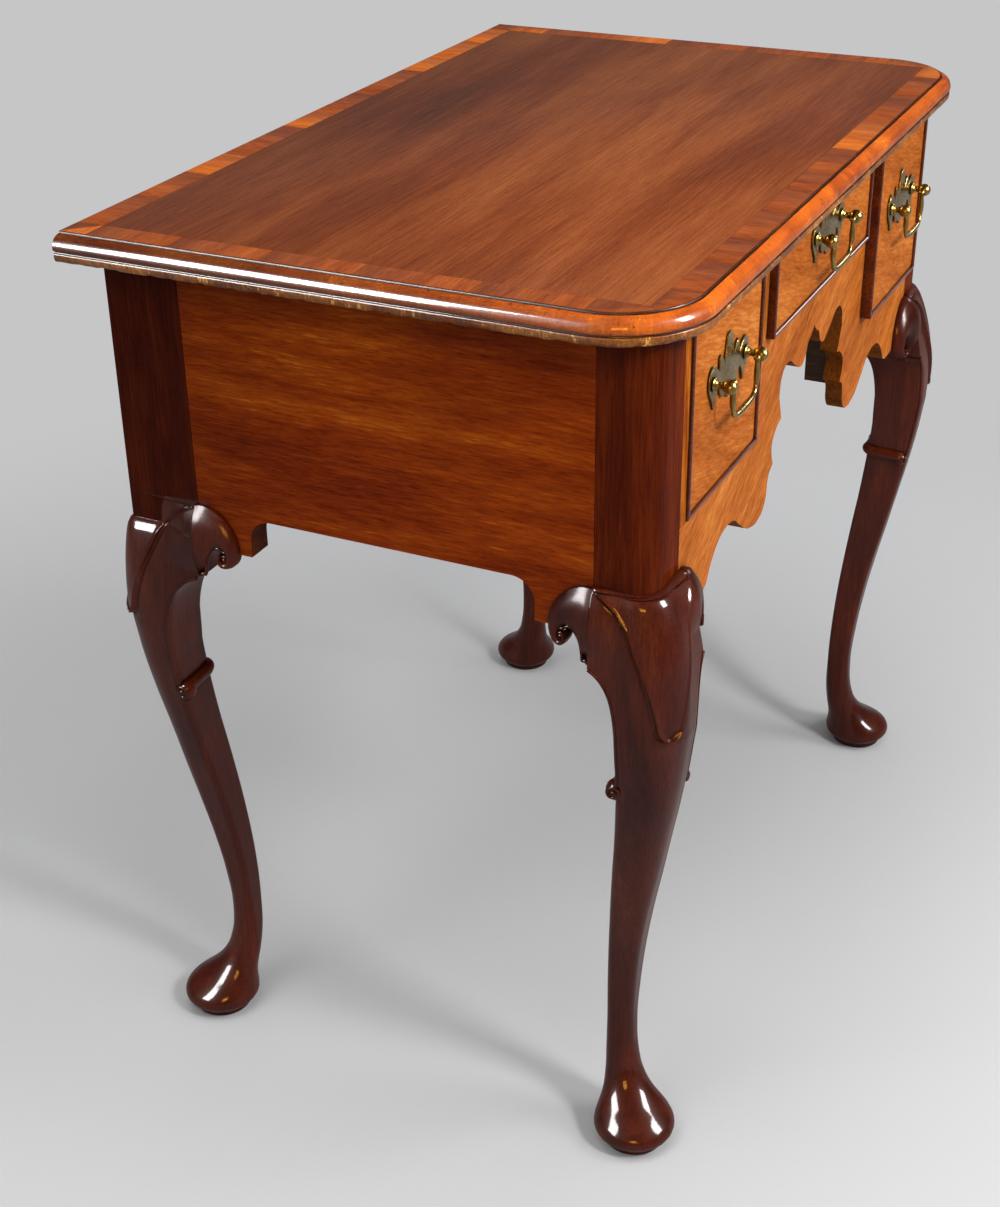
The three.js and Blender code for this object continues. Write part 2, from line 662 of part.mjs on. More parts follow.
// Front of the case: a shaped apron with a step up to the centre opening.
// Each pair is a share of the knee point's spread and of the apron's rise, from the centre out.
const dripShares = [
  [0.034, 0.94], [0.06, 0.915], [0.075, 0.85], [0.1, 0.805], [0.128, 0.795], [0.155, 0.82],
];
const roundArchShares = [
  [0.2, 0.87], [0.232, 0.915], [0.268, 0.937], [0.305, 0.92], [0.332, 0.86], [0.34, 0.75],
];
const cuspShares = [[0.306, 0.575]];
const scallopShares = [[0.34, 0.555], [0.385, 0.48], [0.388, 0.39], [0.368, 0.3]];
const lobeShares = [[0.4, 0.265], [0.415, 0.2], [0.42, 0.11], [0.455, 0.025], [0.52, 0]];
const swellShares = [
  [0.6, 0.045], [0.67, 0.14], [0.73, 0.23], [0.8, 0.255], [0.87, 0.225], [0.93, 0.13],
  [0.965, 0.03], [1, 0],
];

function apronShape() {
  const point = (side, [across, rise]) => (
    new THREE.Vector2(side * across * apronSpread, apronLow + rise * apronRise));
  const edge = postInner - SEAM;
  const sideTop = sideOpeningLow;
  const stretches = [dripShares, roundArchShares, cuspShares, scallopShares, lobeShares, swellShares];
  const shape = new THREE.Shape();
  shape.moveTo(0, apronLow + apronRise);
  for (const stretch of stretches) shape.splineThru(stretch.map((pair) => point(1, pair)));
  shape.lineTo(edge, apronLow);
  shape.lineTo(edge, sideTop);
  shape.lineTo(sideInner, sideTop);
  shape.lineTo(sideInner, centreOpeningLow);
  shape.lineTo(-sideInner, centreOpeningLow);
  shape.lineTo(-sideInner, sideTop);
  shape.lineTo(-edge, sideTop);
  shape.lineTo(-edge, apronLow);
  shape.lineTo(point(-1, [1, 0]).x, apronLow);
  for (let s = stretches.length - 1; s >= 0; s -= 1) {
    const start = s > 0 ? stretches[s - 1].at(-1) : [0, 1];
    const backward = [start, ...stretches[s].slice(0, -1)].reverse();
    shape.splineThru(backward.map((pair) => point(-1, pair)));
  }
  return shape;
}

const onFront = (a, b, w) => [a, frontY + w, b];
add('front_apron', board(apronShape(), FRONT_THICKNESS, onFront, { curveSegments: 2 }), frontVeneer);

// A glued block behind each lobe of the apron, under the runners.
const blockTop = sideOpeningLow - RUNNER_HEIGHT - SEAM;
for (const [side, sideX] of [['left', -1], ['right', 1]]) {
  const middle = sideX * (dividerInner + sideInner) / 2;
  const y0 = frontBackY + SEAM;
  add(`apron_block_${side}`, block(middle - APRON_BLOCK_WIDTH / 2, middle + APRON_BLOCK_WIDTH / 2,
    y0, y0 + APRON_BLOCK_DEPTH, blockTop - APRON_BLOCK_HEIGHT, blockTop), innerWood);
}

const dividerLow = centreOpeningLow + SEAM;
const dividerBack = frontY + DIVIDER_DEPTH;
for (const [side, sideX] of [['left', -1], ['right', 1]]) {
  const place = (x, y, z) => [sideX * x, y, z];
  const divider = block(dividerInner, sideInner, frontY, dividerBack, dividerLow, caseTop);
  add(`drawer_divider_${side}`, mapped(divider, place), frontVeneer);
  const stile = block(sideOuter, postInner - SEAM, frontY, frontBackY, sideOpeningLow + SEAM, caseTop);
  add(`front_stile_${side}`, mapped(stile, place), frontVeneer);
}

// Runners: a strip under each drawer side with a guide beside it, from the front to the back board.
function runner(openingEdge, low) {
  const shape = new THREE.Shape();
  shape.moveTo(-RUNNER_REACH, low - RUNNER_HEIGHT);
  shape.lineTo(GUIDE_WIDTH, low - RUNNER_HEIGHT);
  shape.lineTo(GUIDE_WIDTH, low + GUIDE_HEIGHT);
  shape.lineTo(0, low + GUIDE_HEIGHT);
  shape.lineTo(0, low);
  shape.lineTo(-RUNNER_REACH, low);
  const length = backFrontY - frontBackY - 2 * SEAM;
  return (direction) => board(shape, length, (a, b, w) => (
    [openingEdge + direction * (a + SEAM), frontBackY + SEAM + w, b]));
}

const runnerPlaces = [
  ['left_outer', -sideOuter, -1, sideOpeningLow],
  ['left_inner', -sideInner, 1, sideOpeningLow],
  ['centre_left', -dividerInner, -1, centreOpeningLow],
  ['centre_right', dividerInner, 1, centreOpeningLow],
  ['right_inner', sideInner, -1, sideOpeningLow],
  ['right_outer', sideOuter, 1, sideOpeningLow],
];

for (const [name, edge, direction, low] of runnerPlaces) {
  let body = solid(runner(edge, low)(direction));
  if (name.startsWith('centre')) {
    const x0 = Math.min(direction * dividerInner, direction * sideInner) - SEAM;
    const x1 = Math.max(direction * dividerInner, direction * sideInner) + SEAM;
    const notch = block(x0, x1, frontY, dividerBack + SEAM, centreOpeningLow, HEIGHT);
    body = body.subtract(solid(notch));
  }
  add(`runner_${name}`, geometryOf(body), innerWood);
}

// Drawers. The front has a rebate round its face that holds the cockbead, and the sides are
// grooved for the bottom board.
function rectangle(x0, x1, z0, z1) {
  const shape = new THREE.Shape();
  shape.moveTo(x0, z0);
  shape.lineTo(x1, z0);
  shape.lineTo(x1, z1);
  shape.lineTo(x0, z1);
  return shape;
}

function cockbead(x0, x1, z0, z1) {
  const inset = BEAD_ROUND;
  const shape = rectangle(x0 + inset, x1 - inset, z0 + inset, z1 - inset);
  const edge = BEAD_WIDTH - inset;
  shape.holes.push(rectangle(x0 + edge, x1 - edge, z0 + edge, z1 - edge));
  const depth = BEAD_PROUD + BEAD_DEPTH - 2 * inset;
  return board(shape, depth, (a, b, w) => [a, frontY - BEAD_PROUD + inset + w, b], {
    bevelEnabled: true,
    bevelThickness: inset,
    bevelSize: inset,
    bevelSegments: 3,
  });
}

function drawer(name, middle, width, low, ajar, handleHeight, plateRise) {
  const group = new THREE.Group();
  group.position.y = -ajar;
  lowboy.add(group);
  const x0 = middle - width / 2 + DRAWER_CLEARANCE;
  const x1 = middle + width / 2 - DRAWER_CLEARANCE;
  const z0 = low + DRAWER_CLEARANCE;
  const z1 = topUnderside - DRAWER_TOP_CLEARANCE;
  const frontInner = frontY + DRAWER_FRONT_THICKNESS;
  const rebate = BEAD_WIDTH + SEAM;
  const face = block(x0 + rebate, x1 - rebate, frontY, frontInner, z0 + rebate, z1 - rebate);
  const backing = block(x0, x1, frontY + BEAD_DEPTH + SEAM, frontInner, z0, z1);
  add(`drawer_${name}_front`, geometryOf(solid(face).add(solid(backing))), frontVeneer, group);
  add(`drawer_${name}_cockbead`, cockbead(x0, x1, z0, z1), frontVeneer, group);

  const sideLow = low + SEAM;
  const sideTop = z1 - DRAWER_SIDE_DROP;
  const y0 = frontInner + SEAM;
  const y1 = backFrontY - DRAWER_BACK_GAP;
  const bottomLow = sideLow + DRAWER_BOTTOM_LIFT;
  const bottomTop = bottomLow + DRAWER_BOTTOM_THICKNESS;
  const innerX0 = x0 + DRAWER_SIDE_THICKNESS;
  const innerX1 = x1 - DRAWER_SIDE_THICKNESS;
  const sides = [['left', x0, innerX0, 1], ['right', x1, innerX1, -1]];
  for (const [side, outerX, innerX, inward] of sides) {
    const panel = block(Math.min(outerX, innerX), Math.max(outerX, innerX), y0, y1, sideLow, sideTop);
    const grooveX = innerX - inward * (GROOVE_DEPTH + SEAM);
    const clearX = innerX + inward * OVERRUN;
    const groove = block(Math.min(grooveX, clearX), Math.max(grooveX, clearX),
      y0 - OVERRUN, y1 + OVERRUN, bottomLow - SEAM, bottomTop + SEAM);
    const grooved = geometryOf(solid(panel).subtract(solid(groove)));
    add(`drawer_${name}_side_${side}`, grooved, innerWood, group);
  }
  const backY = y1 - DRAWER_SIDE_THICKNESS;
  const back = block(innerX0 + SEAM, innerX1 - SEAM, backY, y1, bottomTop + SEAM, sideTop);
  add(`drawer_${name}_back`, back, innerWood, group);
  const tongueX0 = innerX0 - GROOVE_DEPTH;
  const tongueX1 = innerX1 + GROOVE_DEPTH;
  const bottom = block(tongueX0, tongueX1, y0, y1, bottomLow, bottomTop);
  add(`drawer_${name}_bottom`, bottom, innerWood, group);
  handle(name, middle, handleHeight, plateRise, group);
}

// Handles: a shaped backplate, two turned posts with ball heads and a drop bail pinned in the heads.
// Right half of the plate's outline, from the top down: shares of its half width and of its rise,
// or of its drop where they are negative.
const plateShares = [
  [0.13, 0.97], [0.2, 0.72], [0.24, 0.48], [0.3, 0.34], [0.36, 0.5], [0.46, 0.56], [0.5, 0.42],
  [0.49, 0.26], [0.58, 0.16], [0.66, 0.3], [0.8, 0.38], [0.94, 0.26], [1, 0.02], [0.95, -0.3],
  [0.84, -0.52], [0.74, -0.84], [0.66, -0.6], [0.6, -0.36], [0.5, -0.32], [0.42, -0.5],
  [0.28, -0.66], [0.16, -0.74],
];

function plateShape(plateRise) {
  const point = (side, [across, rise]) => (
    new THREE.Vector2(side * across * PLATE_HALF_WIDTH, rise * (rise > 0 ? plateRise : PLATE_DROP)));
  const shape = new THREE.Shape();
  shape.moveTo(0, plateRise);
  const right = plateShares.map((pair) => point(1, pair));
  const left = plateShares.map((pair) => point(-1, pair)).reverse();
  for (const p of [...right, new THREE.Vector2(0, -PLATE_DROP), ...left]) shape.lineTo(p.x, p.y);
  return shape;
}

const headCentre = HANDLE_POST_LENGTH - HANDLE_BALL_RADIUS;

function handlePost() {
  const profile = [
    [0, 0], [HANDLE_COLLAR_RADIUS, 0], [HANDLE_COLLAR_RADIUS, HANDLE_COLLAR_THICKNESS],
    [HANDLE_POST_RADIUS, HANDLE_COLLAR_THICKNESS + SEAM],
  ];
  const neckAngle = Math.asin(HANDLE_POST_RADIUS / HANDLE_BALL_RADIUS);
  const steps = 5;
  for (let i = 0; i <= steps; i += 1) {
    const angle = neckAngle + (i / steps) * (Math.PI - neckAngle);
    const radius = i < steps ? HANDLE_BALL_RADIUS * Math.sin(angle) : 0;
    profile.push([radius, headCentre - HANDLE_BALL_RADIUS * Math.cos(angle)]);
  }
  return new THREE.LatheGeometry(profile.map(([r, h]) => new THREE.Vector2(r, h)), 10);
}

function bail() {
  const pinReach = POST_SPACING / 2 - HANDLE_BALL_RADIUS + BAIL_PIN_DEPTH;
  const arm = POST_SPACING / 2 - HANDLE_BALL_RADIUS - BAIL_RADIUS - SEAM;
  const at = (x, z) => new THREE.Vector3(x, 0, z);
  const path = new THREE.CurvePath();
  path.add(new THREE.LineCurve3(at(-arm, 0), at(-arm, BAIL_CORNER - BAIL_DROP)));
  path.add(new THREE.QuadraticBezierCurve3(
    at(-arm, BAIL_CORNER - BAIL_DROP), at(-arm, -BAIL_DROP), at(BAIL_CORNER - arm, -BAIL_DROP)));
  path.add(new THREE.LineCurve3(at(BAIL_CORNER - arm, -BAIL_DROP), at(arm - BAIL_CORNER, -BAIL_DROP)));
  path.add(new THREE.QuadraticBezierCurve3(
    at(arm - BAIL_CORNER, -BAIL_DROP), at(arm, -BAIL_DROP), at(arm, BAIL_CORNER - BAIL_DROP)));
  path.add(new THREE.LineCurve3(at(arm, BAIL_CORNER - BAIL_DROP), at(arm, 0)));
  const section = new THREE.Shape();
  section.absarc(0, 0, BAIL_RADIUS, 0, 2 * Math.PI);
  const rod = new THREE.ExtrudeGeometry(section, { steps: 16, curveSegments: 4, extrudePath: path });
  let body = solid(outward(welded(rod)));
  for (const side of [-1, 1]) {
    const eye = new THREE.SphereGeometry(BAIL_RADIUS, 8, 6).translate(side * arm, 0, 0);
    const pin = new THREE.CylinderGeometry(BAIL_PIN_RADIUS, BAIL_PIN_RADIUS, pinReach - arm, 8);
    pin.rotateZ(Math.PI / 2).translate(side * (arm + pinReach) / 2, 0, 0);
    body = body.add(solid(eye)).add(solid(pin));
  }
  return geometryOf(body);
}

const bailGeometry = bail();

function handle(name, middle, height, plateRise, group) {
  const plateY = frontY - SEAM;
  const postY = plateY - PLATE_THICKNESS - SEAM;
  const bevel = PLATE_THICKNESS / 3;
  const onDrawer = (a, b, w) => [middle + a, plateY - w, height + b];
  const plate = board(plateShape(plateRise), PLATE_THICKNESS - bevel, onDrawer, {
    bevelEnabled: true,
    bevelThickness: bevel,
    bevelSize: bevel,
    bevelOffset: -bevel,
    bevelSegments: 1,
  });
  const flatBack = block(middle - HEIGHT, middle + HEIGHT, plateY - OVERRUN, plateY, 0, HEIGHT);
  add(`handle_${name}_plate`, geometryOf(solid(plate).intersect(solid(flatBack))), agedBrass, group);
  const boreReach = BAIL_PIN_DEPTH + SEAM;
  for (const [side, sideX] of [['left', -1], ['right', 1]]) {
    const x = middle + sideX * POST_SPACING / 2;
    const turned = mapped(handlePost(), (a, h, c) => [x + a, postY - h, height + c]);
    const bore = new THREE.CylinderGeometry(BAIL_BORE_RADIUS, BAIL_BORE_RADIUS, boreReach + OVERRUN, 12);
    const boreMiddle = x - sideX * (HANDLE_BALL_RADIUS - boreReach + (boreReach + OVERRUN) / 2);
    bore.rotateZ(Math.PI / 2).translate(boreMiddle, postY - headCentre, height);
    add(`handle_${name}_post_${side}`, geometryOf(solid(turned).subtract(solid(bore))), agedBrass, group);
  }
  const hung = add(`handle_${name}_bail`, bailGeometry, agedBrass, group);
  hung.position.set(middle, postY - headCentre, height);
}

const sideMiddle = (sideInner + sideOuter) / 2;
const sideHandle = HEIGHT - SIDE_HANDLE_DROP;
const centreHandle = HEIGHT - CENTRE_HANDLE_DROP;
drawer('left', -sideMiddle, sideOpeningWidth, sideOpeningLow, 0, sideHandle, SIDE_PLATE_RISE);
drawer('centre', 0, 2 * dividerInner, centreOpeningLow, CENTRE_AJAR, centreHandle, CENTRE_PLATE_RISE);
drawer('right', sideMiddle, sideOpeningWidth, sideOpeningLow, RIGHT_AJAR, sideHandle, SIDE_PLATE_RISE);

// The origin lies under the middle of the whole, from the handles' heads to the top's back edge.
const handleReach = HANDLE_POST_LENGTH + PLATE_THICKNESS + 2 * SEAM + RIGHT_AJAR;
const frontReach = halfDepth + Math.max(TOP_FRONT_OVERHANG + MOULD_REACH, handleReach);
lowboy.position.y = (frontReach - halfDepth - TOP_BACK_OVERHANG) / 2;

export default lowboy;
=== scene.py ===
import random
from math import atan2, cos, hypot, pi, radians, sin, sqrt

import bmesh
import bpy
import numpy as np
from numpy.linalg import norm
from mathutils import Matrix, Vector


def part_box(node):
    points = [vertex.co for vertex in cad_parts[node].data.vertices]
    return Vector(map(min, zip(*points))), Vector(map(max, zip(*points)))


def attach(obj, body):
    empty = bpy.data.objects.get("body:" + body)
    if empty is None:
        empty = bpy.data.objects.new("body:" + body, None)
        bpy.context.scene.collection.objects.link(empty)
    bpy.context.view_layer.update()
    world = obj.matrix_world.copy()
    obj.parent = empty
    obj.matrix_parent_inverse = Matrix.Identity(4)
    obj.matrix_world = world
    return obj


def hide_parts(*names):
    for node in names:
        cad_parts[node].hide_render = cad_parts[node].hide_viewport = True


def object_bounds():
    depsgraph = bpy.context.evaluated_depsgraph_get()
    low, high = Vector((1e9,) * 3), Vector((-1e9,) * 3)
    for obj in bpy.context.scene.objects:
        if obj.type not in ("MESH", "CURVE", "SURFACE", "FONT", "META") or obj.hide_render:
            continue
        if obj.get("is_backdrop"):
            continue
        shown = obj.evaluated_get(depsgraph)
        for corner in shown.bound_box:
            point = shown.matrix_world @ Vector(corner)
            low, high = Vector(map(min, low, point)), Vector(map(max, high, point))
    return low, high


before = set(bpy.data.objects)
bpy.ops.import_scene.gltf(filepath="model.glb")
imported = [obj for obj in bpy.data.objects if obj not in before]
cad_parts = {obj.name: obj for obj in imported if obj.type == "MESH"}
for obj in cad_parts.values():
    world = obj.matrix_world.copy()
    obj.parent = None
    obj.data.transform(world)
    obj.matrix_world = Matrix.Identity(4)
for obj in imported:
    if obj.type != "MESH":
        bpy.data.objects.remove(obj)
cad_low, cad_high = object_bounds()
MM = 0.001


# Camera: it stands off the left front corner and looks down at the table, at the place and
# lens that the photograph's straight edges give.
CAMERA_PLACE = (-1.3767, -0.59585, 1.1228)
CAMERA_YAW, CAMERA_PITCH, CAMERA_ROLL = (radians(a) for a in (26.1, 28.71, -0.98))
PHOTO_WIDTH, PHOTO_HEIGHT = 1000, 1207
FOCAL_PIXELS = 1869.8
PRINCIPAL_X, PRINCIPAL_Y = 493.2, 587.4


def add_object(name, data):
    """A new object, linked to the scene."""
    thing = bpy.data.objects.new(name, data)
    bpy.context.scene.collection.objects.link(thing)
    return thing


camera_data = bpy.data.cameras.new("camera")
camera_data.lens = FOCAL_PIXELS * camera_data.sensor_width / PHOTO_HEIGHT
camera_data.shift_x = (PHOTO_WIDTH / 2 - PRINCIPAL_X) / PHOTO_HEIGHT
camera_data.shift_y = (PRINCIPAL_Y - PHOTO_HEIGHT / 2) / PHOTO_HEIGHT
camera = add_object("camera", camera_data)
camera.matrix_world = Matrix.Translation(CAMERA_PLACE)
for angle, axis in ((CAMERA_YAW - pi / 2, "Z"), (pi / 2 - CAMERA_PITCH, "X"), (CAMERA_ROLL, "Z")):
    camera.matrix_world @= Matrix.Rotation(angle, 4, axis)
bpy.context.scene.camera = camera
bpy.context.scene.view_settings.view_transform = "Standard"


# Studio: a pale grey floor and soft light, most of it from the left of the front and from above.
# Lamps for the light leave no reflection; the others only put highlights on the polish, and the
# warm strips golden sparks.
FLOOR_HALF = 14.0
PAPER_FAR = "#c6c6c7"


def linear(hex_code):
    """An sRGB hex colour as a linear colour with full alpha."""
    shares = [int(hex_code[i:i + 2], 16) / 255 for i in (1, 3, 5)]
    return [s / 12.92 if s <= 0.04045 else ((s + 0.055) / 1.055) ** 2.4 for s in shares] + [1.0]


def node_adder(owner):
    """A function that adds a node to the emptied tree of a new material or world."""
    owner.use_nodes = True
    tree = owner.node_tree
    tree.nodes.clear()

    def add(kind, sockets, out=0, stops=(), **settings):
        """Gives one of the node's outputs. A socket takes a number, a colour or a link."""
        node = tree.nodes.new("ShaderNode" + kind)
        for name, value in settings.items():
            setattr(node, name, value)
        for _ in stops[2:]:
            node.color_ramp.elements.new(1.0)
        for i, (position, colour) in enumerate(stops):
            node.color_ramp.elements[i].position = position
            node.color_ramp.elements[i].color = linear(colour)
        for key, value in sockets.items():
            if isinstance(value, bpy.types.NodeSocket):
                tree.links.new(value, node.inputs[key])
            else:
                node.inputs[key].default_value = value
        return node.outputs[out] if node.outputs else None

    return add


def seamless_paper():
    """Pale grey photographer's paper: matt, with no visible fibre, and even away from the table."""
    material = bpy.data.materials.new("grey_studio_paper")
    add = node_adder(material)
    place = add("TexCoord", {}, "Object")
    cloud = add("TexNoise", {"Vector": place, "Scale": 0.7, "Detail": 2.0})
    tint = add("ValToRGB", {0: cloud}, stops=[(0.3, "#bebfc0"), (0.7, "#c5c5c6")])
    lit = add("BsdfPrincipled", {"Base Color": tint, "Roughness": 0.9, "Specular IOR Level": 0.1})
    even = add("Emission", {"Color": linear(PAPER_FAR), "Strength": 1.0})
    away = add("VectorMath", {0: place}, "Value", operation="LENGTH")
    far = add(
        "MapRange", {"Value": away, "From Min": 0.55, "From Max": 1.35}, interpolation_type="SMOOTHSTEP")
    seen = add("LightPath", {}, "Is Camera Ray")
    share = add("Math", {0: far, 1: seen}, operation="MULTIPLY")
    add("OutputMaterial", {"Surface": add("MixShader", {0: share, 1: lit, 2: even})})
    return material


def add_soft_box(name, place, size, watts, only, target=(0, 0, 0.5), colour="#ffffff"):
    """A rectangular lamp that faces its target, only for the light or only for the shine."""
    light = bpy.data.lights.new(name, "AREA")
    light.shape = "RECTANGLE"
    light.size, light.size_y = size
    light.energy = watts
    light.color = linear(colour)[:3]
    lamp = add_object(name, light)
    lamp.location = place
    lamp.rotation_euler = (Vector(target) - Vector(place)).to_track_quat("-Z", "Y").to_euler()
    lamp.visible_camera = False
    lamp.visible_glossy = only == "shine"
    lamp.visible_diffuse = only == "light"


h = FLOOR_HALF
floor_mesh = bpy.data.meshes.new("floor")
floor_mesh.from_pydata([(-h, -h, 0), (h, -h, 0), (h, h, 0), (-h, h, 0)], [], [(0, 1, 2, 3)])
floor_mesh.materials.append(seamless_paper())
add_object("floor", floor_mesh)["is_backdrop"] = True

add_soft_box("key_lamp", (-0.65, -1.78, 1.97), (0.4, 0.4), 32, "light")
add_soft_box("soft_box_front", (0.45, -1.9, 2.2), (0.9, 0.9), 22, "light")
add_soft_box("soft_box_left", (-1.75, 0.5, 2.5), (1.2, 0.8), 14, "light")
add_soft_box("soft_box_above", (-0.3, 0.05, 2.9), (1.6, 1.6), 33, "light")
add_soft_box("front_shine", (0.1, -2.1, 1.6), (0.62, 1.0), 195, "shine")
add_soft_box("left_shine", (-1.63, 0.9, 1.26), (0.66, 0.94), 178, "shine", target=(-0.37, 0.03, 0.7))
add_soft_box("right_shine", (2.1, -0.95, 1.35), (0.5, 0.5), 11, "shine")
for height in (1.08, 1.27, 1.46):
    add_soft_box("warm_strip", (-2.5, -1.1, height), (0.7, 0.07), 13, "shine", colour="#ffb347")

world = bpy.data.worlds.new("studio")
add = node_adder(world)
ambient, dim, seen = (
    add("Background", {"Color": linear(colour), "Strength": strength})
    for colour, strength in (("#f4f4f6", 0.42), ("#f4f4f6", 0.13), (PAPER_FAR, 1.0)))
shine = add("MixShader", {0: add("LightPath", {}, "Is Glossy Ray"), 1: ambient, 2: dim})
sky = add("MixShader", {0: add("LightPath", {}, "Is Camera Ray"), 1: shine, 2: seen})
add("OutputWorld", {"Surface": sky})
bpy.context.scene.world = world


# Case: the end boards, the back board and the posts carry the top. The end boards are solid
# walnut, polished outside, with their grain lying from front to back. The back is planed pine.
PORE = 0.85
EASED_ANGLE = 35


def wood(name, along, tones, broad=34, streak=1.6, length=16, gloss=0.36, shine=0.2, coat=0.2,
         coat_gloss=0.12, shares=(0.6, 1.2, 0.5), fleck=0.0, tilt=0.0, place=None, bump=0.25, dirt=0.6,
         reach=9, specks=0.0, face=None, aged=None):
    """Polished wood. Its widths, its reach and PORE are in millimetres.

    The shares are those of the broad stripes, the fine streaks and the slow drift. Flecks are
    short light streaks, and specks the dark dots of old knocks and worm. Walnut's pores, about
    0.2 mm wide, are drawn coarser, or no render would show them. The coat is old shellac. Grime
    and painted shade darken the colour where other surfaces come near, within the reach, by up to
    a share. A board whose face is named has the surfaces turned away from that face painted
    darker: darker sawn edges and painted shade. Painted shade may also darken the wood toward the
    back, from one depth to another, in metres, down to a share.
    """
    material = bpy.data.materials.new(name)
    add = node_adder(material)
    object_place = add("TexCoord", {}, "Object")
    metres = add("Attribute", {}, "Vector", attribute_name=place) if place else object_place
    offset = [(sum(ord(c) for c in name) * step) % 977 for step in (3, 7, 11)]
    spot = add("Mapping", {"Vector": metres, "Location": offset, "Rotation": (0, tilt, 0),
                           "Scale": [1 / MM] * 3})

    def noise(stretch, width, **sockets):
        scale = [1.0 / stretch if axis == along else 1.0 for axis in "XYZ"]
        drawn = add("Mapping", {"Vector": spot, "Scale": scale})
        return add("TexNoise", {"Vector": drawn, "Scale": 1 / width, **sockets})

    drift = noise(4, 3.2 * broad, Detail=2.0)
    stripes = noise(9, broad, Detail=3.0, Roughness=0.55, Distortion=0.6)
    fine = noise(length, streak, Detail=3.0, Roughness=0.6, Distortion=0.3)
    short = noise(length, 1.3 * streak, Detail=2.0)
    flecks = add("MapRange", {"Value": short, "From Min": 0.56, "From Max": 0.74, "To Max": fleck})
    lively = add("MapRange", {"Value": stripes, "From Min": 0.4, "From Max": 0.62})
    mixed = 0.5 * (1 - sum(shares))
    for layer, share in zip((stripes, fine, drift, flecks), (*shares, lively)):
        mixed = add("Math", {0: layer, 1: share, 2: mixed}, operation="MULTIPLY_ADD")
    even = add("MapRange", {"Value": mixed, "From Min": 0.2, "From Max": 0.8})
    tones = tones.split()
    stops = [(i / (len(tones) - 1), tone) for i, tone in enumerate(tones)]
    colour = add("ValToRGB", {0: even}, stops=stops)

    holes = noise(9, PORE, Detail=1.0)
    open_pore = add("MapRange", {"Value": holes, "From Min": 0.60, "From Max": 0.72})
    # Painted shade and grime: the colour darkens where other surfaces come near, in corners, hollows and
    # under overhangs.
    corner = add("AmbientOcclusion", {"Distance": reach * MM}, "AO", samples=6)
    shades = [add("Math", {0: open_pore, 1: -0.3, 2: 1.0}, operation="MULTIPLY_ADD"),
              add("MapRange", {"Value": corner, "From Min": 0.25, "From Max": 0.9, "To Min": 1 - dirt})]
    if specks:
        dots = add("TexVoronoi", {"Vector": spot, "Scale": 1 / 7}, "Distance", feature="F1")
        size = add("MapRange", {"Value": noise(1, 11), "From Min": 0.35, "From Max": 0.65, "To Max": 0.19})
        near = add("Math", {0: dots, 1: size}, operation="LESS_THAN")
        shades.append(add("Math", {0: near, 1: -specks, 2: 1.0}, operation="MULTIPLY_ADD"))
    # Painted shade: surfaces turned away from the named face are darkened, as sawn edges and as shade.
    if face:
        normal = add("NewGeometry", {}, "True Normal")
        facing = add("VectorMath", {0: normal, 1: face}, "Value", operation="DOT_PRODUCT")
        facing = add("Math", {0: facing}, operation="ABSOLUTE")
        shades.append(add("MapRange", {"Value": facing, "From Min": 0.3, "From Max": 0.8, "To Min": 0.3}))
    # Painted shade: the colour darkens toward the back, where less light falls.
    if aged:
        depth, (fore, aft, kept) = add("SeparateXYZ", {0: object_place}, "Y"), aged
        shades.append(add("MapRange", {"Value": depth, "From Min": fore, "From Max": aft, "To Min": 1.0,
                                       "To Max": kept}))
    darker = shades[0]
    for shade in shades[1:]:
        darker = add("Math", {0: darker, 1: shade}, operation="MULTIPLY")
    colour = add("VectorMath", {0: colour, "Scale": darker}, operation="SCALE")

    dull = add("MapRange", {"Value": drift, "From Min": 0.3, "From Max": 0.7, "To Min": gloss - 0.05,
                            "To Max": gloss + 0.07})
    relief = add("Math", {0: open_pore, 1: -0.5, 2: fine}, operation="MULTIPLY_ADD")
    normal = add("Bump", {"Height": relief, "Strength": bump, "Distance": 0.3 * MM})
    add("OutputMaterial", {"Surface": add("BsdfPrincipled", {
        "Base Color": colour, "Roughness": dull, "Normal": normal, "Specular IOR Level": shine,
        "Coat Weight": coat, "Coat Roughness": coat_gloss, "IOR": 1.5})})
    return material


def dress(node, material, edge):
    """Gives a CAD node its finish and eases its sharp edges by a bevel, as a hand plane does."""
    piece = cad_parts[node]
    for slot in piece.material_slots:
        slot.material = material
    if edge:
        bevel = piece.modifiers.new("eased_edges", "BEVEL")
        bevel.width = edge * MM
        bevel.segments = 2
        bevel.limit_method = "ANGLE"
        bevel.angle_limit = radians(EASED_ANGLE)
        bevel.harden_normals = True


# The end boards carry painted shade: darker far under the moulding's overhang, on their edges and toward
# the back.
end_walnut = wood(
    "polished_walnut_end_boards", "Y", "#4a1002 #6a2002 #843004 #9c4407 #b86212", broad=20, streak=1.5,
    length=12, gloss=0.42, shine=0.0, coat=0.1, coat_gloss=0.1, shares=(0.55, 0.5, 0.5), fleck=0.2,
    dirt=0.9, reach=34, face=(1, 0, 0), aged=(0.02, 0.2, 0.68))
for side in ("left", "right"):
    dress(f"end_panel_{side}", end_walnut, 0.8)

back_pine = wood("planed_pine_back", "X", "#5e4028 #735134 #8a6642", broad=45, streak=2.6, length=30,
                 gloss=0.62, coat=0, bump=0.5)
dress("back_board", back_pine, 0.8)


# Top: a board with a moulding worked across the grain round its front and ends, and on it a
# walnut sheet inside a border of short crossbanded pieces, glued down edge to edge.
MOULD_REACH = 10.3
CORNER_RADIUS = 58
BAND_WIDTH = 22
VENEER = 0.7
JOINT = 0.12
CORNER_GAP = 4
END_POINTS, FRONT_POINTS, CORNER_STEPS = 80, 110, 22
KNOCK_DEPTH, KNOCK_LIFT, EDGE_WEAR = 0.55, 0.7, 0.9


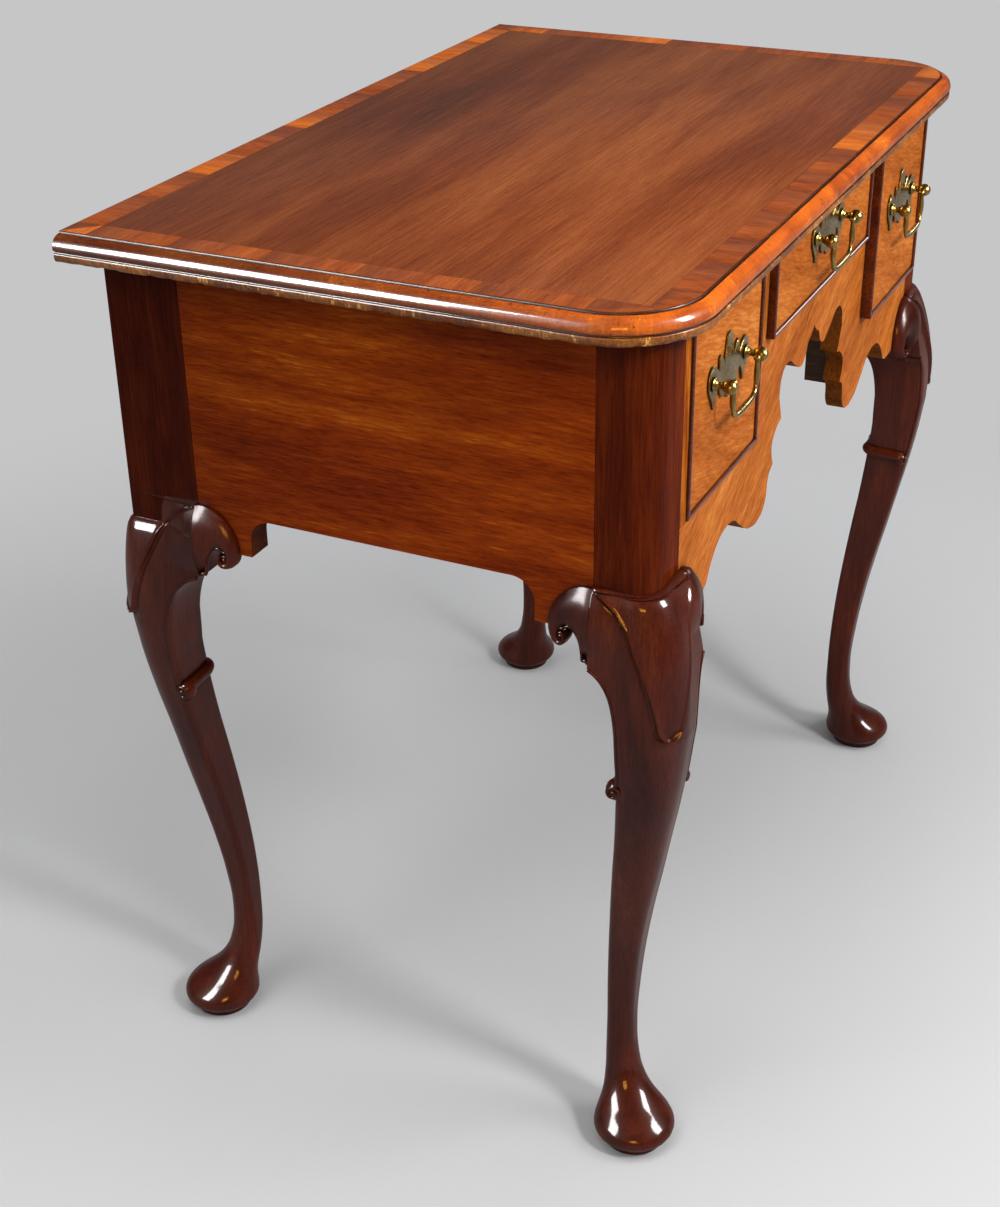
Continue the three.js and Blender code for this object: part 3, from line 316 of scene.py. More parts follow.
def box_mm(node):
    """The low and high corners of a CAD node, in millimetres."""
    return [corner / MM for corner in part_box(node)]


top_low, top_high = box_mm("top_board")
top_half = top_high.x - MOULD_REACH
top_front = top_low.y + MOULD_REACH
top_back = top_high.y
round_x, round_y = top_half - CORNER_RADIUS, top_front + CORNER_RADIUS
veneer_low = top_high.z - VENEER


def skin(rings):
    """Vertices and faces of a closed surface drawn through rings of equal length."""
    rings = np.asarray(rings, float)
    rows, count, _ = rings.shape
    faces = []
    for r in range(rows - 1):
        for i in range(count):
            j = (i + 1) % count
            faces.append((r * count + i, r * count + j, (r + 1) * count + j, (r + 1) * count + i))
    faces.append(tuple(range(count))[::-1])
    faces.append(tuple((rows - 1) * count + i for i in range(count)))
    return rings.reshape(-1, 3), faces


def make_piece(name, shells, body, replaces=(), sharp=35):
    """One object from shells of (vertices in millimetres, faces, material), which rides on a body."""
    mesh = bpy.data.meshes.new(name)
    verts, faces, kinds, materials = [], [], [], []
    for points, polygons, material in shells:
        start = len(verts)
        verts += [tuple(float(c) * MM for c in p) for p in points]
        faces += [tuple(start + i for i in polygon) for polygon in polygons]
        if material not in materials:
            materials.append(material)
            mesh.materials.append(material)
        kinds += [materials.index(material)] * len(polygons)
    mesh.from_pydata(verts, [], faces)
    mesh.polygons.foreach_set("material_index", kinds)
    work = bmesh.new()
    work.from_mesh(mesh)
    bmesh.ops.recalc_face_normals(work, faces=work.faces)
    work.to_mesh(mesh)
    work.free()
    mesh.shade_smooth()
    mesh.set_sharp_from_angle(angle=radians(sharp))
    piece = add_object(name, mesh)
    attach(piece, body)
    if replaces:
        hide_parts(*replaces)
    return piece


def top_outline(reach, z, wear=0.0):
    """The top's outline, square at the back and rounded at the front, grown by a reach.

    The wear gives way to knocks: it is the most that a point may lose, in millimetres.
    """
    end = np.linspace(top_back, round_y + CORNER_GAP, END_POINTS)
    ring = [(-top_half - reach, y) for y in end]
    for centre, start in ((-round_x, pi), (round_x, 1.5 * pi)):
        for i in range(CORNER_STEPS + 1):
            angle = start + i / CORNER_STEPS * pi / 2
            radius = CORNER_RADIUS + reach
            ring.append((centre + radius * cos(angle), round_y + radius * sin(angle)))
        if start == pi:
            ring += [(x, top_front - reach)
                     for x in np.linspace(centre + CORNER_GAP, round_x - CORNER_GAP, FRONT_POINTS)]
    ring += [(top_half + reach, y) for y in np.linspace(round_y + CORNER_GAP, top_back, END_POINTS)]
    knocks = random.Random(31)
    depths = [0.0, *(max(0.0, knocks.gauss(0, KNOCK_DEPTH)) for _ in ring[1:-1]), 0.0]
    ring = np.array(ring)
    inward = -ring / norm(ring, axis=1)[:, None] * wear * np.minimum(1, depths)[:, None]
    return [(x + a, y + b, z + KNOCK_LIFT * hypot(a, b)) for (x, y), (a, b) in zip(ring, inward)]


# Moulding rows: share of the reach and of the board's thickness, from the underside up. A worn
# rounded band runs below, then a groove, then the nose and the long slope of the ovolo, then a
# quirk, whose steep inner side stands level with the veneer.
LOWER_ROWS = [
    (0.5, 0.0), (0.72, 0.0), (0.8, 0.012), (0.87, 0.05), (0.92, 0.11), (0.95, 0.18), (0.955, 0.27),
    (0.95, 0.305), (0.925, 0.325), (0.85, 0.332), (0.78, 0.34)]
NOSE_ROWS = [
    (0.76, 0.37), (0.775, 0.4), (0.83, 0.415), (0.92, 0.42), (0.965, 0.435), (0.99, 0.465), (1.0, 0.51),
    (0.995, 0.56), (0.98, 0.61), (0.955, 0.66), (0.92, 0.71), (0.875, 0.755), (0.815, 0.8), (0.74, 0.84),
    (0.64, 0.877), (0.53, 0.905), (0.42, 0.928), (0.31, 0.945), (0.22, 0.955), (0.18, 0.955)]
QUIRK_ROWS = [
    (0.155, 0.94), (0.14, 0.925), (0.125, 0.925), (0.115, 0.94), (0.107, 0.98), (0.09, 1.015),
    (0.06, 1.031), (0.03, 1.035), (0.005, 1.035), (0.004, 1.0)]


def cross_grain(name, tones, **finish):
    """Walnut laid across the run of the moulding."""
    return wood(
        name, "Y", tones, broad=26, length=3, shares=(0.5, 0.4, 0.5), place="run", shine=0.1, **finish)


def with_run(piece, rows, count):
    """Stores where each point lies along the moulding's run and across its profile, in metres."""
    run = piece.data.attributes.new("run", "FLOAT_VECTOR", "POINT")
    points = np.array([v.co for v in piece.data.vertices]).reshape(rows, count, 3)
    values = np.zeros((rows, count, 3))
    values[:, 1:, 0] = np.cumsum(norm(np.diff(points, axis=1), axis=2).mean(axis=0))
    values[1:, :, 1] = np.cumsum(norm(np.diff(points, axis=0), axis=2).mean(axis=1))[:, None]
    run.data.foreach_set("vector", values.reshape(-1))


# The moulding darkens toward the back, down to a third: painted shade on its ends, which get less light.
mould_walnut = cross_grain(
    "cross_grain_walnut_moulding", "#6a2602 #883804 #a84e08 #c66c16", coat=0.42, coat_gloss=0.08,
    fleck=0.25, dirt=0.9, reach=2.5, specks=0.6, aged=(-0.21, 0.1, 0.3))
# The quirk's polish is nearly black: old dirt and painted shade in the narrow groove.
quirk_walnut = cross_grain(
    "dirty_polish_in_the_quirk", "#1e0b03 #3c1a07 #62300e", gloss=0.4, coat=0.1, dirt=0.9, reach=2)
worn_walnut = cross_grain(
    "worn_walnut_lower_edge", "#361404 #5e2c08 #8e541a #c4904c", gloss=0.4, coat=0.22, fleck=0.6, bump=1.0,
    dirt=0.75, reach=3, specks=0.7)
board_height = veneer_low - top_low.z
rings = [
    top_outline(share * MOULD_REACH, top_low.z + rise * board_height, EDGE_WEAR if rise < 0.1 else 0.0)
    for share, rise in LOWER_ROWS + NOSE_ROWS + QUIRK_ROWS]
rings.append(top_outline(0.0, veneer_low))
groove_row = len(LOWER_ROWS) - 1
quirk_row = groove_row + len(NOSE_ROWS)
shells = [(*skin(rings[:groove_row + 1]), worn_walnut),
          (*skin(rings[groove_row:quirk_row + 1]), mould_walnut), (*skin(rings[quirk_row:]), quirk_walnut)]
top_board = make_piece("top_board_moulded", shells, "carcass", ["top_board"])
with_run(top_board, len(rings) + 2, len(rings[0]))

field_walnut = wood(
    "french_polished_walnut_field", "X", "#4e2310 #6c3216 #824420 #9a582b", broad=40, streak=2.2, length=26,
    shine=0.24, coat=0.08, coat_gloss=0.25, shares=(0.55, 0.5, 0.8), bump=0.12)
BAND_TONES = {"": "#662a10 #7c3816 #90461c #a25424", "_light": "#863a10 #a04c16 #b45c1c #c87028"}
LIGHT_SHARE = 0.4
STRIP_SHORTEST, STRIP_LONGEST, STRIP_LAST = 48, 96, 75
SHEET_BEVEL, BEVEL_DROP = 0.2, 0.15
band_walnut = {
    grain + kind: wood(
        f"crossbanding_{grain}{kind}", grain, BAND_TONES[kind], broad=12, streak=1.8, length=8, gloss=0.34,
        shine=0.24, coat=0.08, coat_gloss=0.2, shares=(0.7, 0.7, 0.4), bump=0.12)
    for kind in BAND_TONES for grain in "XY"}


def sheet_of(outline):
    """A thin flat sheet with a hairline bevel round its upper edge."""
    outline = np.asarray(outline, float)
    toward = outline.mean(axis=0) - outline
    toward /= norm(toward, axis=1)[:, None]
    rows = [(0.0, veneer_low), (0.0, top_high.z - BEVEL_DROP), (SHEET_BEVEL, top_high.z)]
    return skin([[(x, y, z) for x, y in outline + toward * inset] for inset, z in rows])


def oblong(x0, x1, y0, y1):
    return [(x0, y0), (x1, y0), (x1, y1), (x0, y1)]


def corner_arc(side, share0, share1):
    """Points on the rounded front corner between two shares of its quarter turn."""
    return [(side * (round_x + CORNER_RADIUS * sin(angle)), round_y - CORNER_RADIUS * cos(angle))
            for angle in np.linspace(share0, share1, 9) * pi / 2]


def split_run(start, end, seed):
    """Spans along a band: short lengths of veneer, cut as the strip allowed, with their joints."""
    cut = random.Random(seed)
    joints = [start]
    while joints[-1] < end - STRIP_LAST:
        joints.append(joints[-1] + cut.uniform(STRIP_SHORTEST, STRIP_LONGEST))
    return [(a + JOINT, b - JOINT) for a, b in zip(joints, joints[1:] + [end])]


def banding():
    """Outlines of the crossbanded pieces, the ones with Y grain first, then the ones with X grain."""
    inner_x = top_half - BAND_WIDTH
    front_edge, back_edge = top_front + BAND_WIDTH - JOINT, top_back - BAND_WIDTH + JOINT
    lying = [oblong(*span, top_front, front_edge) for span in split_run(-round_x, round_x, 4)]
    lying += [oblong(*span, back_edge, top_back) for span in split_run(-inner_x, inner_x, 9)]
    standing = []
    for side in (-1, 1):
        x, outside, start = side * (inner_x + JOINT), side * top_half, side * (round_x + JOINT)
        lying.append([(start, top_front)] + corner_arc(side, 0, 0.5)[1:]
                     + [(side * (inner_x - JOINT), front_edge), (start, front_edge)])
        standing.append(corner_arc(side, 0.5, 1) + [(x, round_y - JOINT), (x, top_front + BAND_WIDTH)])
        for span in split_run(round_y, top_back - BAND_WIDTH, 20 + side):
            standing.append(oblong(x, outside, *span))
        standing.append(oblong(x, outside, back_edge, top_back)[:3])
        lying.append([(side * (inner_x - JOINT), back_edge), (side * (top_half - 2 * JOINT), top_back),
                      (side * inner_x, top_back)])
    return lying, standing


def keep_off(lamp_name, pieces):
    """Lets one lamp's light pass some pieces by, as a card held in front of it does."""
    passed = bpy.data.collections.new("out_of_" + lamp_name)
    for piece in pieces:
        passed.objects.link(piece)
    for entry in passed.collection_objects:
        entry.light_linking.link_state = "EXCLUDE"
    bpy.data.objects[lamp_name].light_linking.receiver_collection = passed


field = oblong(BAND_WIDTH - top_half, top_half - BAND_WIDTH, top_front + BAND_WIDTH, top_back - BAND_WIDTH)
sheet = (*sheet_of(field), field_walnut)
flat = [make_piece("top_field_veneer", [sheet], "carcass", sharp=60)]
for name, grain, outlines in zip(("top_crossband_long", "top_crossband_ends"), "YX", banding()):
    chosen = random.Random(5)
    shells = []
    for outline in outlines:
        kind = "_light" if chosen.random() < LIGHT_SHARE else ""
        shells.append((*sheet_of(outline), band_walnut[grain + kind]))
    flat.append(make_piece(name, shells, "carcass", sharp=60))
keep_off("front_shine", flat)
keep_off("left_shine", flat)
keep_off("right_shine", [top_board, *flat])


# Front: one sawn board makes the apron and the rail under the drawers, veneered with figured
# walnut, and the uprights between the drawers are of the same wood. Runners and blocks are oak,
# painted dark as the shade inside the case.
FRONT_TONES = "#824018 #a6581f #be6a2a #d4863e"


def front_veneer(name, along, tones, **finish):
    """Walnut on the front, which hardly shines."""
    return wood(name, along, tones, gloss=0.4, shine=0.0, coat=0.07, **finish)


def planed_oak(name, along, tones, broad, gloss=0.6):
    """Oak inside the case, straight from the plane."""
    return wood(name, along, tones, broad=broad, gloss=gloss, coat=0, bump=0.5)


# The apron's arch and other sawn edges are painted darker: darker sawn edges and painted shade beneath.
front_walnut = front_veneer(
    "figured_walnut_front", "X", FRONT_TONES, broad=14, streak=2.0, length=7, coat_gloss=0.14,
    shares=(0.5, 1.0, 0.6), tilt=0.5, face=(0, 1, 0))
upright_walnut = front_veneer("walnut_uprights", "Z", "#7a340c #964a10 #b8681e #cc7e2c", broad=10)
# Painted shade: the runners and blocks are much darker than the oak elsewhere, as shade inside the case.
shaded_runner_oak = planed_oak("planed_oak_runners", "Y", "#2e1c10 #3d2817 #4c3520", 20)
dress("front_apron", front_walnut, 0.7)
for side in ("left", "right"):
    dress(f"drawer_divider_{side}", upright_walnut, 0.6)
    dress(f"front_stile_{side}", upright_walnut, 0.6)
    dress(f"apron_block_{side}", shaded_runner_oak, 1.2)
for node in ("left_outer", "left_inner", "centre_left", "centre_right", "right_inner", "right_outer"):
    dress(f"runner_{node}", shaded_runner_oak, 0.8)


# Drawers: oak linings behind a veneered front, which has a rebate for the cockbead, a thin
# rounded strip that stands a little proud all round.
INNER_TONES = "#6f5030 #8c6a42 #a98555"
drawer_walnut = front_veneer(
    "figured_walnut_drawers", "X", FRONT_TONES, broad=16, streak=2.2, length=7, coat_gloss=0.14,
    shares=(0.5, 0.8, 0.6), tilt=-0.3)
side_oak = planed_oak("planed_oak_sides", "Y", INNER_TONES, 24)
bottom_oak = planed_oak("planed_oak_bottoms", "X", INNER_TONES, 36, gloss=0.62)
# The cockbead is dark walnut; its dark tone also stands for the shade on its sides.
bead_walnut = wood(
    "walnut_cockbead", "X", "#3e1406 #5c220a #7a3612", broad=8, gloss=0.34, shine=0.1, coat=0.5,
    coat_gloss=0.1)
for drawer in ("left", "centre", "right"):
    for part, material, edge in (
            ("front", drawer_walnut, 0.4), ("cockbead", bead_walnut, 0), ("side_left", side_oak, 0.7),
            ("side_right", side_oak, 0.7), ("back", side_oak, 0.7), ("bottom", bottom_oak, 0.4)):
        dress(f"drawer_{drawer}_{part}", material, edge)


# Handles: cast brass, a filed plate held by two turned posts, with a drop bail pinned in them.
POST_LENGTH, HEAD_RADIUS = 17, 5.4
HEAD_START, HEAD_END = 0.62, 0.12
PLATE_HALF, PLATE_DROP, PLATE_THICKNESS = 41, 22, 1.8
POST_SPACING = 66
PIN_RADIUS, PIN_START, PIN_INTO_POST = 1.5, 23.6, 2
EYE_OF_BAIL, BAIL_EYE_RADIUS = 24.4, 2.5


def old_brass():
    """Cast brass, brown in its hollows and rubbed bright where fingers reach."""
    material = bpy.data.materials.new("antique_cast_brass")
    add = node_adder(material)
    place = add("TexCoord", {}, "Object")
    spot = add("VectorMath", {0: place, "Scale": 1 / MM}, operation="SCALE")
    cloud = add("TexNoise", {"Vector": spot, "Scale": 1 / 7, "Detail": 4.0})
    pits = add("TexNoise", {"Vector": spot, "Scale": 1 / 0.9, "Detail": 2.0})
    hollow = add("AmbientOcclusion", {"Distance": 0.004}, "AO", samples=8)
    shown = add("Math", {0: cloud, 1: 0.5, 2: hollow}, operation="MULTIPLY_ADD")
    even = add("MapRange", {"Value": shown, "From Min": 0.7, "From Max": 1.35})
    colour = add("ValToRGB", {0: even}, stops=[(0, "#231808"), (0.45, "#5a4822"), (1, "#907840")])
    dull = add("MapRange", {"Value": even, "To Min": 0.46, "To Max": 0.24})
    normal = add("Bump", {"Height": pits, "Strength": 0.18, "Distance": 0.2 * MM})
    add("OutputMaterial", {"Surface": add("BsdfPrincipled", {
        "Base Color": colour, "Metallic": 1.0, "Roughness": dull, "Normal": normal})})
    return material


brass = old_brass()

# Half of the plate's outline, from its spike down: shares of its half width and of its rise or
# drop, in stretches that end in the sharp corners a file leaves.
PLATE_STRETCHES = [
    [(0, 1), (0.08, 0.99), (0.125, 0.93), (0.15, 0.75), (0.185, 0.52), (0.235, 0.27)],
    [(0.235, 0.27), (0.3, 0.42), (0.37, 0.55), (0.44, 0.59), (0.49, 0.52), (0.49, 0.36), (0.51, 0.19)],
    [(0.51, 0.19), (0.59, 0.3), (0.7, 0.42), (0.81, 0.47), (0.92, 0.4), (0.985, 0.22), (1, 0),
     (0.96, -0.24), (0.88, -0.46), (0.8, -0.68), (0.745, -0.92)],
    [(0.745, -0.92), (0.7, -0.66), (0.645, -0.45), (0.58, -0.34), (0.51, -0.33), (0.45, -0.43)],
    [(0.45, -0.43), (0.42, -0.6), (0.35, -0.74), (0.25, -0.79), (0.17, -0.77), (0.1, -0.86), (0, -1)]]
# Post rows: radius and distance from the plate, up to where the ball head begins.
POST_ROWS = [
    (5.0, 0), (5.3, 0.5), (5.2, 1.1), (4.4, 1.7), (4.2, 2.2), (3.2, 2.7), (2.5, 3.8), (2.4, 5.2),
    (2.9, 6.4), (3.3, 6.9), (3.1, 7.3)]
# Bail rows: across and drop of half its bar, from the pin to the middle, and the bar's radius.
BAIL_ROWS = [
    (24.6, 1.2, 1.5), (24.7, -1.5, 1.6), (25.2, -6, 1.9), (25.6, -11, 2.3), (25.5, -15.5, 2.3),
    (24.7, -19.5, 1.8), (22.8, -23.4, 1.7), (19.8, -26, 2.0), (15.5, -27.2, 2.3), (9, -27.6, 2.5),
    (0, -27.7, 2.7)]


def eased(rows, at):
    """Smooth curves through a table's columns against its first one, level past both ends."""
    xs, ys = np.split(np.array(rows, float), [1], axis=1)
    xs = xs[:, 0]
    slopes = np.gradient(ys, xs, axis=0)
    i = int(np.clip(np.searchsorted(xs, at) - 1, 0, len(xs) - 2))
    step = xs[i + 1] - xs[i]
    t = float(np.clip((at - xs[i]) / step, 0, 1))
    read = ((2 * t ** 3 - 3 * t ** 2 + 1) * ys[i] + (t ** 3 - 2 * t ** 2 + t) * step * slopes[i]
            + (3 * t ** 2 - 2 * t ** 3) * ys[i + 1] + (t ** 3 - t ** 2) * step * slopes[i + 1])
    return tuple(read) if len(read) > 1 else float(read[0])


def eased_row(rows, at):
    """All the columns of a table, read at a place that counts its rows."""
    return eased([(i, *row) for i, row in enumerate(rows)], at)


def circle(count):
    turns = [k / count * 2 * pi for k in range(count)]
    return [(cos(t), sin(t)) for t in turns]


def tube(path, radius, count):
    """A round bar along a path, of one radius or of one for each point."""
    path = np.asarray(path, float)
    radii = np.broadcast_to(radius, len(path))
    rings, side = [], np.array((0.31, 0.47, 0.83))
    for i, point in enumerate(path):
        ahead = path[min(i + 1, len(path) - 1)] - path[max(i - 1, 0)]
        ahead /= norm(ahead)
        if i == 0:
            side = np.cross(ahead, side)
        side = side - ahead * side.dot(ahead)
        side /= norm(side)
        other = np.cross(ahead, side)
        rings.append([point + radii[i] * (side * c + other * s) for c, s in circle(count)])
    return skin(rings)


def turned(rows, count=24):
    """A turned shape, drawn across, up and proud, from rows of radius and distance."""
    return skin([[(r * c, r * s, h) for c, s in circle(count)] for r, h in rows])


def ball(centre, radius, stretch=1):
    polars = [i / 12 * pi for i in range(1, 12)]
    points, faces = turned([(radius * sin(p), -radius * cos(p)) for p in polars], 16)
    return points * (1, 1, stretch) + centre, faces


def cast_plate(rise):
    """A flat casting with its front edge filed to a bevel, drawn across, up and proud."""
    half = []
    for stretch in PLATE_STRETCHES:
        rows = [(x * PLATE_HALF, y * (rise if y > 0 else PLATE_DROP)) for x, y in stretch]
        half += [eased_row(rows, t) for t in np.linspace(0, len(rows) - 1, 4 * len(rows))[:-1]]
    half.append((0, -PLATE_DROP))
    outline = np.array(half + [(-x, y) for x, y in half[-2:0:-1]])
    ahead = np.roll(outline, -1, axis=0) - np.roll(outline, 1, axis=0)
    inward = np.column_stack([ahead[:, 1], -ahead[:, 0]])
    inward /= norm(inward, axis=1)[:, None]
    rows = [(0, 0), (0, 1.2), (0.12, 1.55), (0.34, PLATE_THICKNESS)]
    return skin([[(x, y, proud) for x, y in outline + inward * inset] for inset, proud in rows])


def turned_post():
    """A baluster that ends in a ball head."""
    angles = np.linspace(HEAD_START, pi - HEAD_END, 12)
    return turned(POST_ROWS + [
        (HEAD_RADIUS * sin(a), POST_LENGTH - HEAD_RADIUS * (1 + cos(a))) for a in angles])


def cast_bail():
    """The bail's bar with its two pins and the eyes that they pass through."""
    half = [eased_row(BAIL_ROWS, t) for t in np.linspace(0, len(BAIL_ROWS) - 1, 46)]
    whole = half + [(-x, z, r) for x, z, r in half[-2::-1]]
    shells = [tube([(x, z, 0) for x, z, _ in whole], [r for _, _, r in whole], 14)]
    pin_end = POST_SPACING / 2 - HEAD_RADIUS + PIN_INTO_POST
    shells += [tube([(side * PIN_START, 0, 0), (side * pin_end, 0, 0)], PIN_RADIUS, 12) for side in (-1, 1)]
    return shells + [ball((side * EYE_OF_BAIL, 0, 0), BAIL_EYE_RADIUS) for side in (-1, 1)]


def on_front(shell, x, y, z):
    """A brass shell drawn across, up and proud, put on a drawer's front."""
    across, rise, proud = np.asarray(shell[0], float).T
    return np.column_stack([x + across, y - proud, z + rise]), shell[1], brass


for drawer in ("left", "centre", "right"):
    handle = f"handle_{drawer}"
    plate_low, plate_high = box_mm(f"{handle}_plate")
    post_low, post_high = box_mm(f"{handle}_post_left")
    middle, height = (plate_low.x + plate_high.x) / 2, (post_low.z + post_high.z) / 2
    bail_y = post_low.y + HEAD_RADIUS
    plate = on_front(cast_plate(plate_high.z - height), middle, plate_high.y, height)
    make_piece(f"{handle}_plate_cast", [plate], f"drawer_{drawer}", [f"{handle}_plate"])
    for side in ("left", "right"):
        post_low, post_high = box_mm(f"{handle}_post_{side}")
        post = on_front(turned_post(), (post_low.x + post_high.x) / 2, post_high.y, height)
        make_piece(f"{handle}_post_{side}_turned", [post], f"drawer_{drawer}",
                   [f"{handle}_post_{side}"])
    bail = [on_front(shell, middle, bail_y, height) for shell in cast_bail()]
    make_piece(f"{handle}_bail_cast", bail, f"bail_{drawer}", [f"{handle}_bail"])


# Legs: each is cut from one length of walnut, post and all. The cabriole curve is spokeshaved,
# the pad and its disc are turned, and the knee is carved with a lappet whose raised edge runs
# up to the ear beside it.
DISC_RADIUS, DISC_HEIGHT = 24.8, 6.5
PAD_RADIUS = 32.5
ANKLE_HEIGHT, ANKLE_SQUARE, ANKLE_SET = 100, 22, 20
KNEE_HEIGHT, KNEE_SQUARE, KNEE_REACH, KNEE_ROUND = 400, 45, 36, 30
ARCH_TOP, LAPPET_TIP, EAR_TOP = 452.5, 407, 511
KNEE_TOP, BACK_KNEE_TOP = 512, 489
POST_WIDTH, FRONT_POST_DEPTH, BACK_POST_DEPTH = 46, 43.5, 62.6
FRONT_ROUND, BACK_ROUND = 18, 2.5
FOOT_INSET_SIDE, FOOT_INSET_FRONT, FOOT_INSET_BACK = 23, 12, 20
END_RELIEF, FRONT_RELIEF, LAPPET_RELIEF = 12.5, 18, 2.3
COLLAR_HEIGHT, FRONT_LEFT_LIFT, COLLAR_RADIUS, COLLAR_BEND = 342, 11, 5.4, 6
RIM_RADIUS = 1.5
SEAM = 0.3
# The knee's inner faces stand this far behind the post's, which end above them.
KNEE_SHY = 0.15
# A bevel of this share of a corner's radius touches the middle of its arc.
ARC_CUT = 1 - sqrt(0.5)
# How far a rounding can go, as a share of half the section: the inner and side ones, the outer one.
ROUND_LIMITS = (0.985, 0.985, 1.5)

case_half = box_mm("end_panel_right")[1].x
case_front = box_mm("front_apron")[0].y
case_back = box_mm("leg_back_left")[1].y - (KNEE_REACH - FOOT_INSET_BACK)
case_top = box_mm("end_panel_left")[1].z

# Foot rows: share of the ankle's height, share of its set back, and how far the half width has
# grown from the ankle's to the pad's.
FOOT_ROWS = [
    (0.068, 0, 0.77), (0.11, 0, 0.955), (0.16, 0, 1), (0.21, 0.04, 0.93), (0.27, 0.17, 0.76),
    (0.34, 0.37, 0.53), (0.42, 0.58, 0.34), (0.52, 0.77, 0.2), (0.7, 0.94, 0.08), (1, 1, 0)]
# Shaft rows: share of the way from ankle to knee, then how far the inner faces and the square
# have gone from the ankle's to the knee's.
SHAFT_ROWS = [
    (0.133, 0.044, 0.04), (0.267, 0.142, 0.146), (0.4, 0.293, 0.29), (0.533, 0.48, 0.46),
    (0.667, 0.684, 0.61), (0.767, 0.81, 0.745), (0.867, 0.907, 0.87), (1, 1, 1)]
# Crown rows: share of the way from the knee to its top, and how much of its reach is left.
CROWN_ROWS = [
    (0, 1), (0.18, 1), (0.38, 0.94), (0.55, 0.82), (0.69, 0.67), (0.8, 0.51), (0.89, 0.34), (0.95, 0.2),
    (0.985, 0.09), (1, -0.05)]
# Rounding rows: share of the knee's height, then the inner, side and outer corner radii as
# shares of half the width.
ROUND_ROWS = [
    (0, 1, 1, 1), (0.13, 1, 1, 1), (0.25, 0.5, 0.66, 0.85), (0.5, 0.24, 0.4, 0.62), (0.75, 0.14, 0.3, 1.2),
    (1, 0.1, 0.24, 1.33)]
# Arch rows: height, and how far the inner faces have spread from the shaft to the ear's joint.
ARCH_ROWS = [
    (370, 0), (380, 0.03), (393, 0.06), (405, 0.09), (415, 0.14), (425, 0.22), (431, 0.29), (440.5, 0.47),
    (446, 0.64), (449.5, 0.8), (451.5, 0.93), (452.5, 1.0)]
# Dome rows: share of the drop from the ear's top to its lower edge, and the share of the relief.
DOME_ROWS = [
    (0, 0.28), (0.06, 0.48), (0.125, 0.65), (0.19, 0.79), (0.26, 0.89), (0.36, 0.97), (0.5, 1), (0.7, 0.93),
    (0.85, 0.7), (0.93, 0.47), (1, 0.38)]
# Spread rows: share across the post from the ear's joint, and how far the ear's dome has given
# way there to the knee's crown.
SPREAD_ROWS = [(0, 0), (0.16, 0.16), (0.32, 0.5), (0.47, 0.85), (0.6, 1), (1, 1)]
# Lappet rows: height, and how far its edge has moved from the joint towards the outer corner, on
# the end face and on the front face.
LAPPET_ROWS = [
    (401, 1.3, 1.3), (404, 1.05, 1.03), (406, 0.955, 0.91), (409, 0.915, 0.855), (421, 0.865, 0.775),
    (440, 0.785, 0.68), (454, 0.705, 0.59), (471, 0.585, 0.47), (483, 0.5, 0.38), (494, 0.38, 0.28),
    (503, 0.23, 0.16), (509, 0.07, 0.02), (514, -0.12, -0.15)]

# A section's points: its corners, from the inner one round, and the runs between them.
CORNER_POINTS, RUN_POINTS = (8, 10, 40, 10), (8, 60, 60, 8)
# The points near the inner corner, at a section's start and end, that don't follow the lappet.
KEPT_FIRST, KEPT_LAST = 26, 16
# Where columns of points run beside the lappet's edge, outside it and inside it.
FAN = np.array([-5, -3.9, -3.1, -2.5, -1.9, -1.3, -0.7, -0.1, 0.5, 1.1, 1.7, 2.4, 3.3, 4.5])
FAN_MARGIN, APEX_MARGIN = 5.5, 2.0
# Heights of the sections: from, to and step.
LEG_SPANS = [
    (6.8, 60, 1.8), (60, 320, 5), (320, 396, 3), (396, 444, 1.2), (444, 453, 0.5), (453, 512.3, 1.2)]
RIM_SPANS = [(438, 449, 1.1), (449, 452.4, 0.4)]


def ramp(value, soft):
    """From 0 to 1 as the value goes from minus to plus the softness."""
    t = np.clip(0.5 + 0.5 * value / soft, 0, 1)
    return t * t * (3 - 2 * t)


def hill(distance, width):
    """A bump that is one high in its middle."""
    return np.exp(-(distance / width) ** 2)


def levels(spans):
    return [z for low, high, step in spans for z in np.arange(low, high, step)]


def shaft_rows():
    """Rows of height, inner face and outer face, from the disc to the knee."""
    ankle_half = ANKLE_SQUARE / 2
    rows = []
    for height, back, swell in FOOT_ROWS:
        half = ankle_half + swell * (PAD_RADIUS - ankle_half)
        rows.append((height * ANKLE_HEIGHT, -back * ANKLE_SET - half, -back * ANKLE_SET + half))
    ankle_inner, knee_inner = -ANKLE_SET - ankle_half, KNEE_REACH - KNEE_SQUARE
    for share, inner_share, square_share in SHAFT_ROWS:
        inner = ankle_inner + inner_share * (knee_inner - ankle_inner)
        width = ANKLE_SQUARE + square_share * (KNEE_SQUARE - ANKLE_SQUARE)
        rows.append((ANKLE_HEIGHT + share * (KNEE_HEIGHT - ANKLE_HEIGHT), inner, inner + width))
    return rows


def post_of(front):
    """A post's low and high corner in its leg's own frame, u along the front and v along the end."""
    inset, depth, outer, crown_top, reliefs = (
        (FOOT_INSET_FRONT, FRONT_POST_DEPTH, FRONT_ROUND, KNEE_TOP, (END_RELIEF, FRONT_RELIEF)) if front
        else (FOOT_INSET_BACK, BACK_POST_DEPTH, BACK_ROUND, BACK_KNEE_TOP, (END_RELIEF,)))
    high = np.array([FOOT_INSET_SIDE, inset], float)
    return {"low": high - (POST_WIDTH, depth), "high": high, "round": outer, "crown_top": crown_top,
            "reliefs": reliefs}


SHAFT = shaft_rows()


def crown_at(z, post):
    return eased(CROWN_ROWS, (z - KNEE_HEIGHT) / (post["crown_top"] - KNEE_HEIGHT))


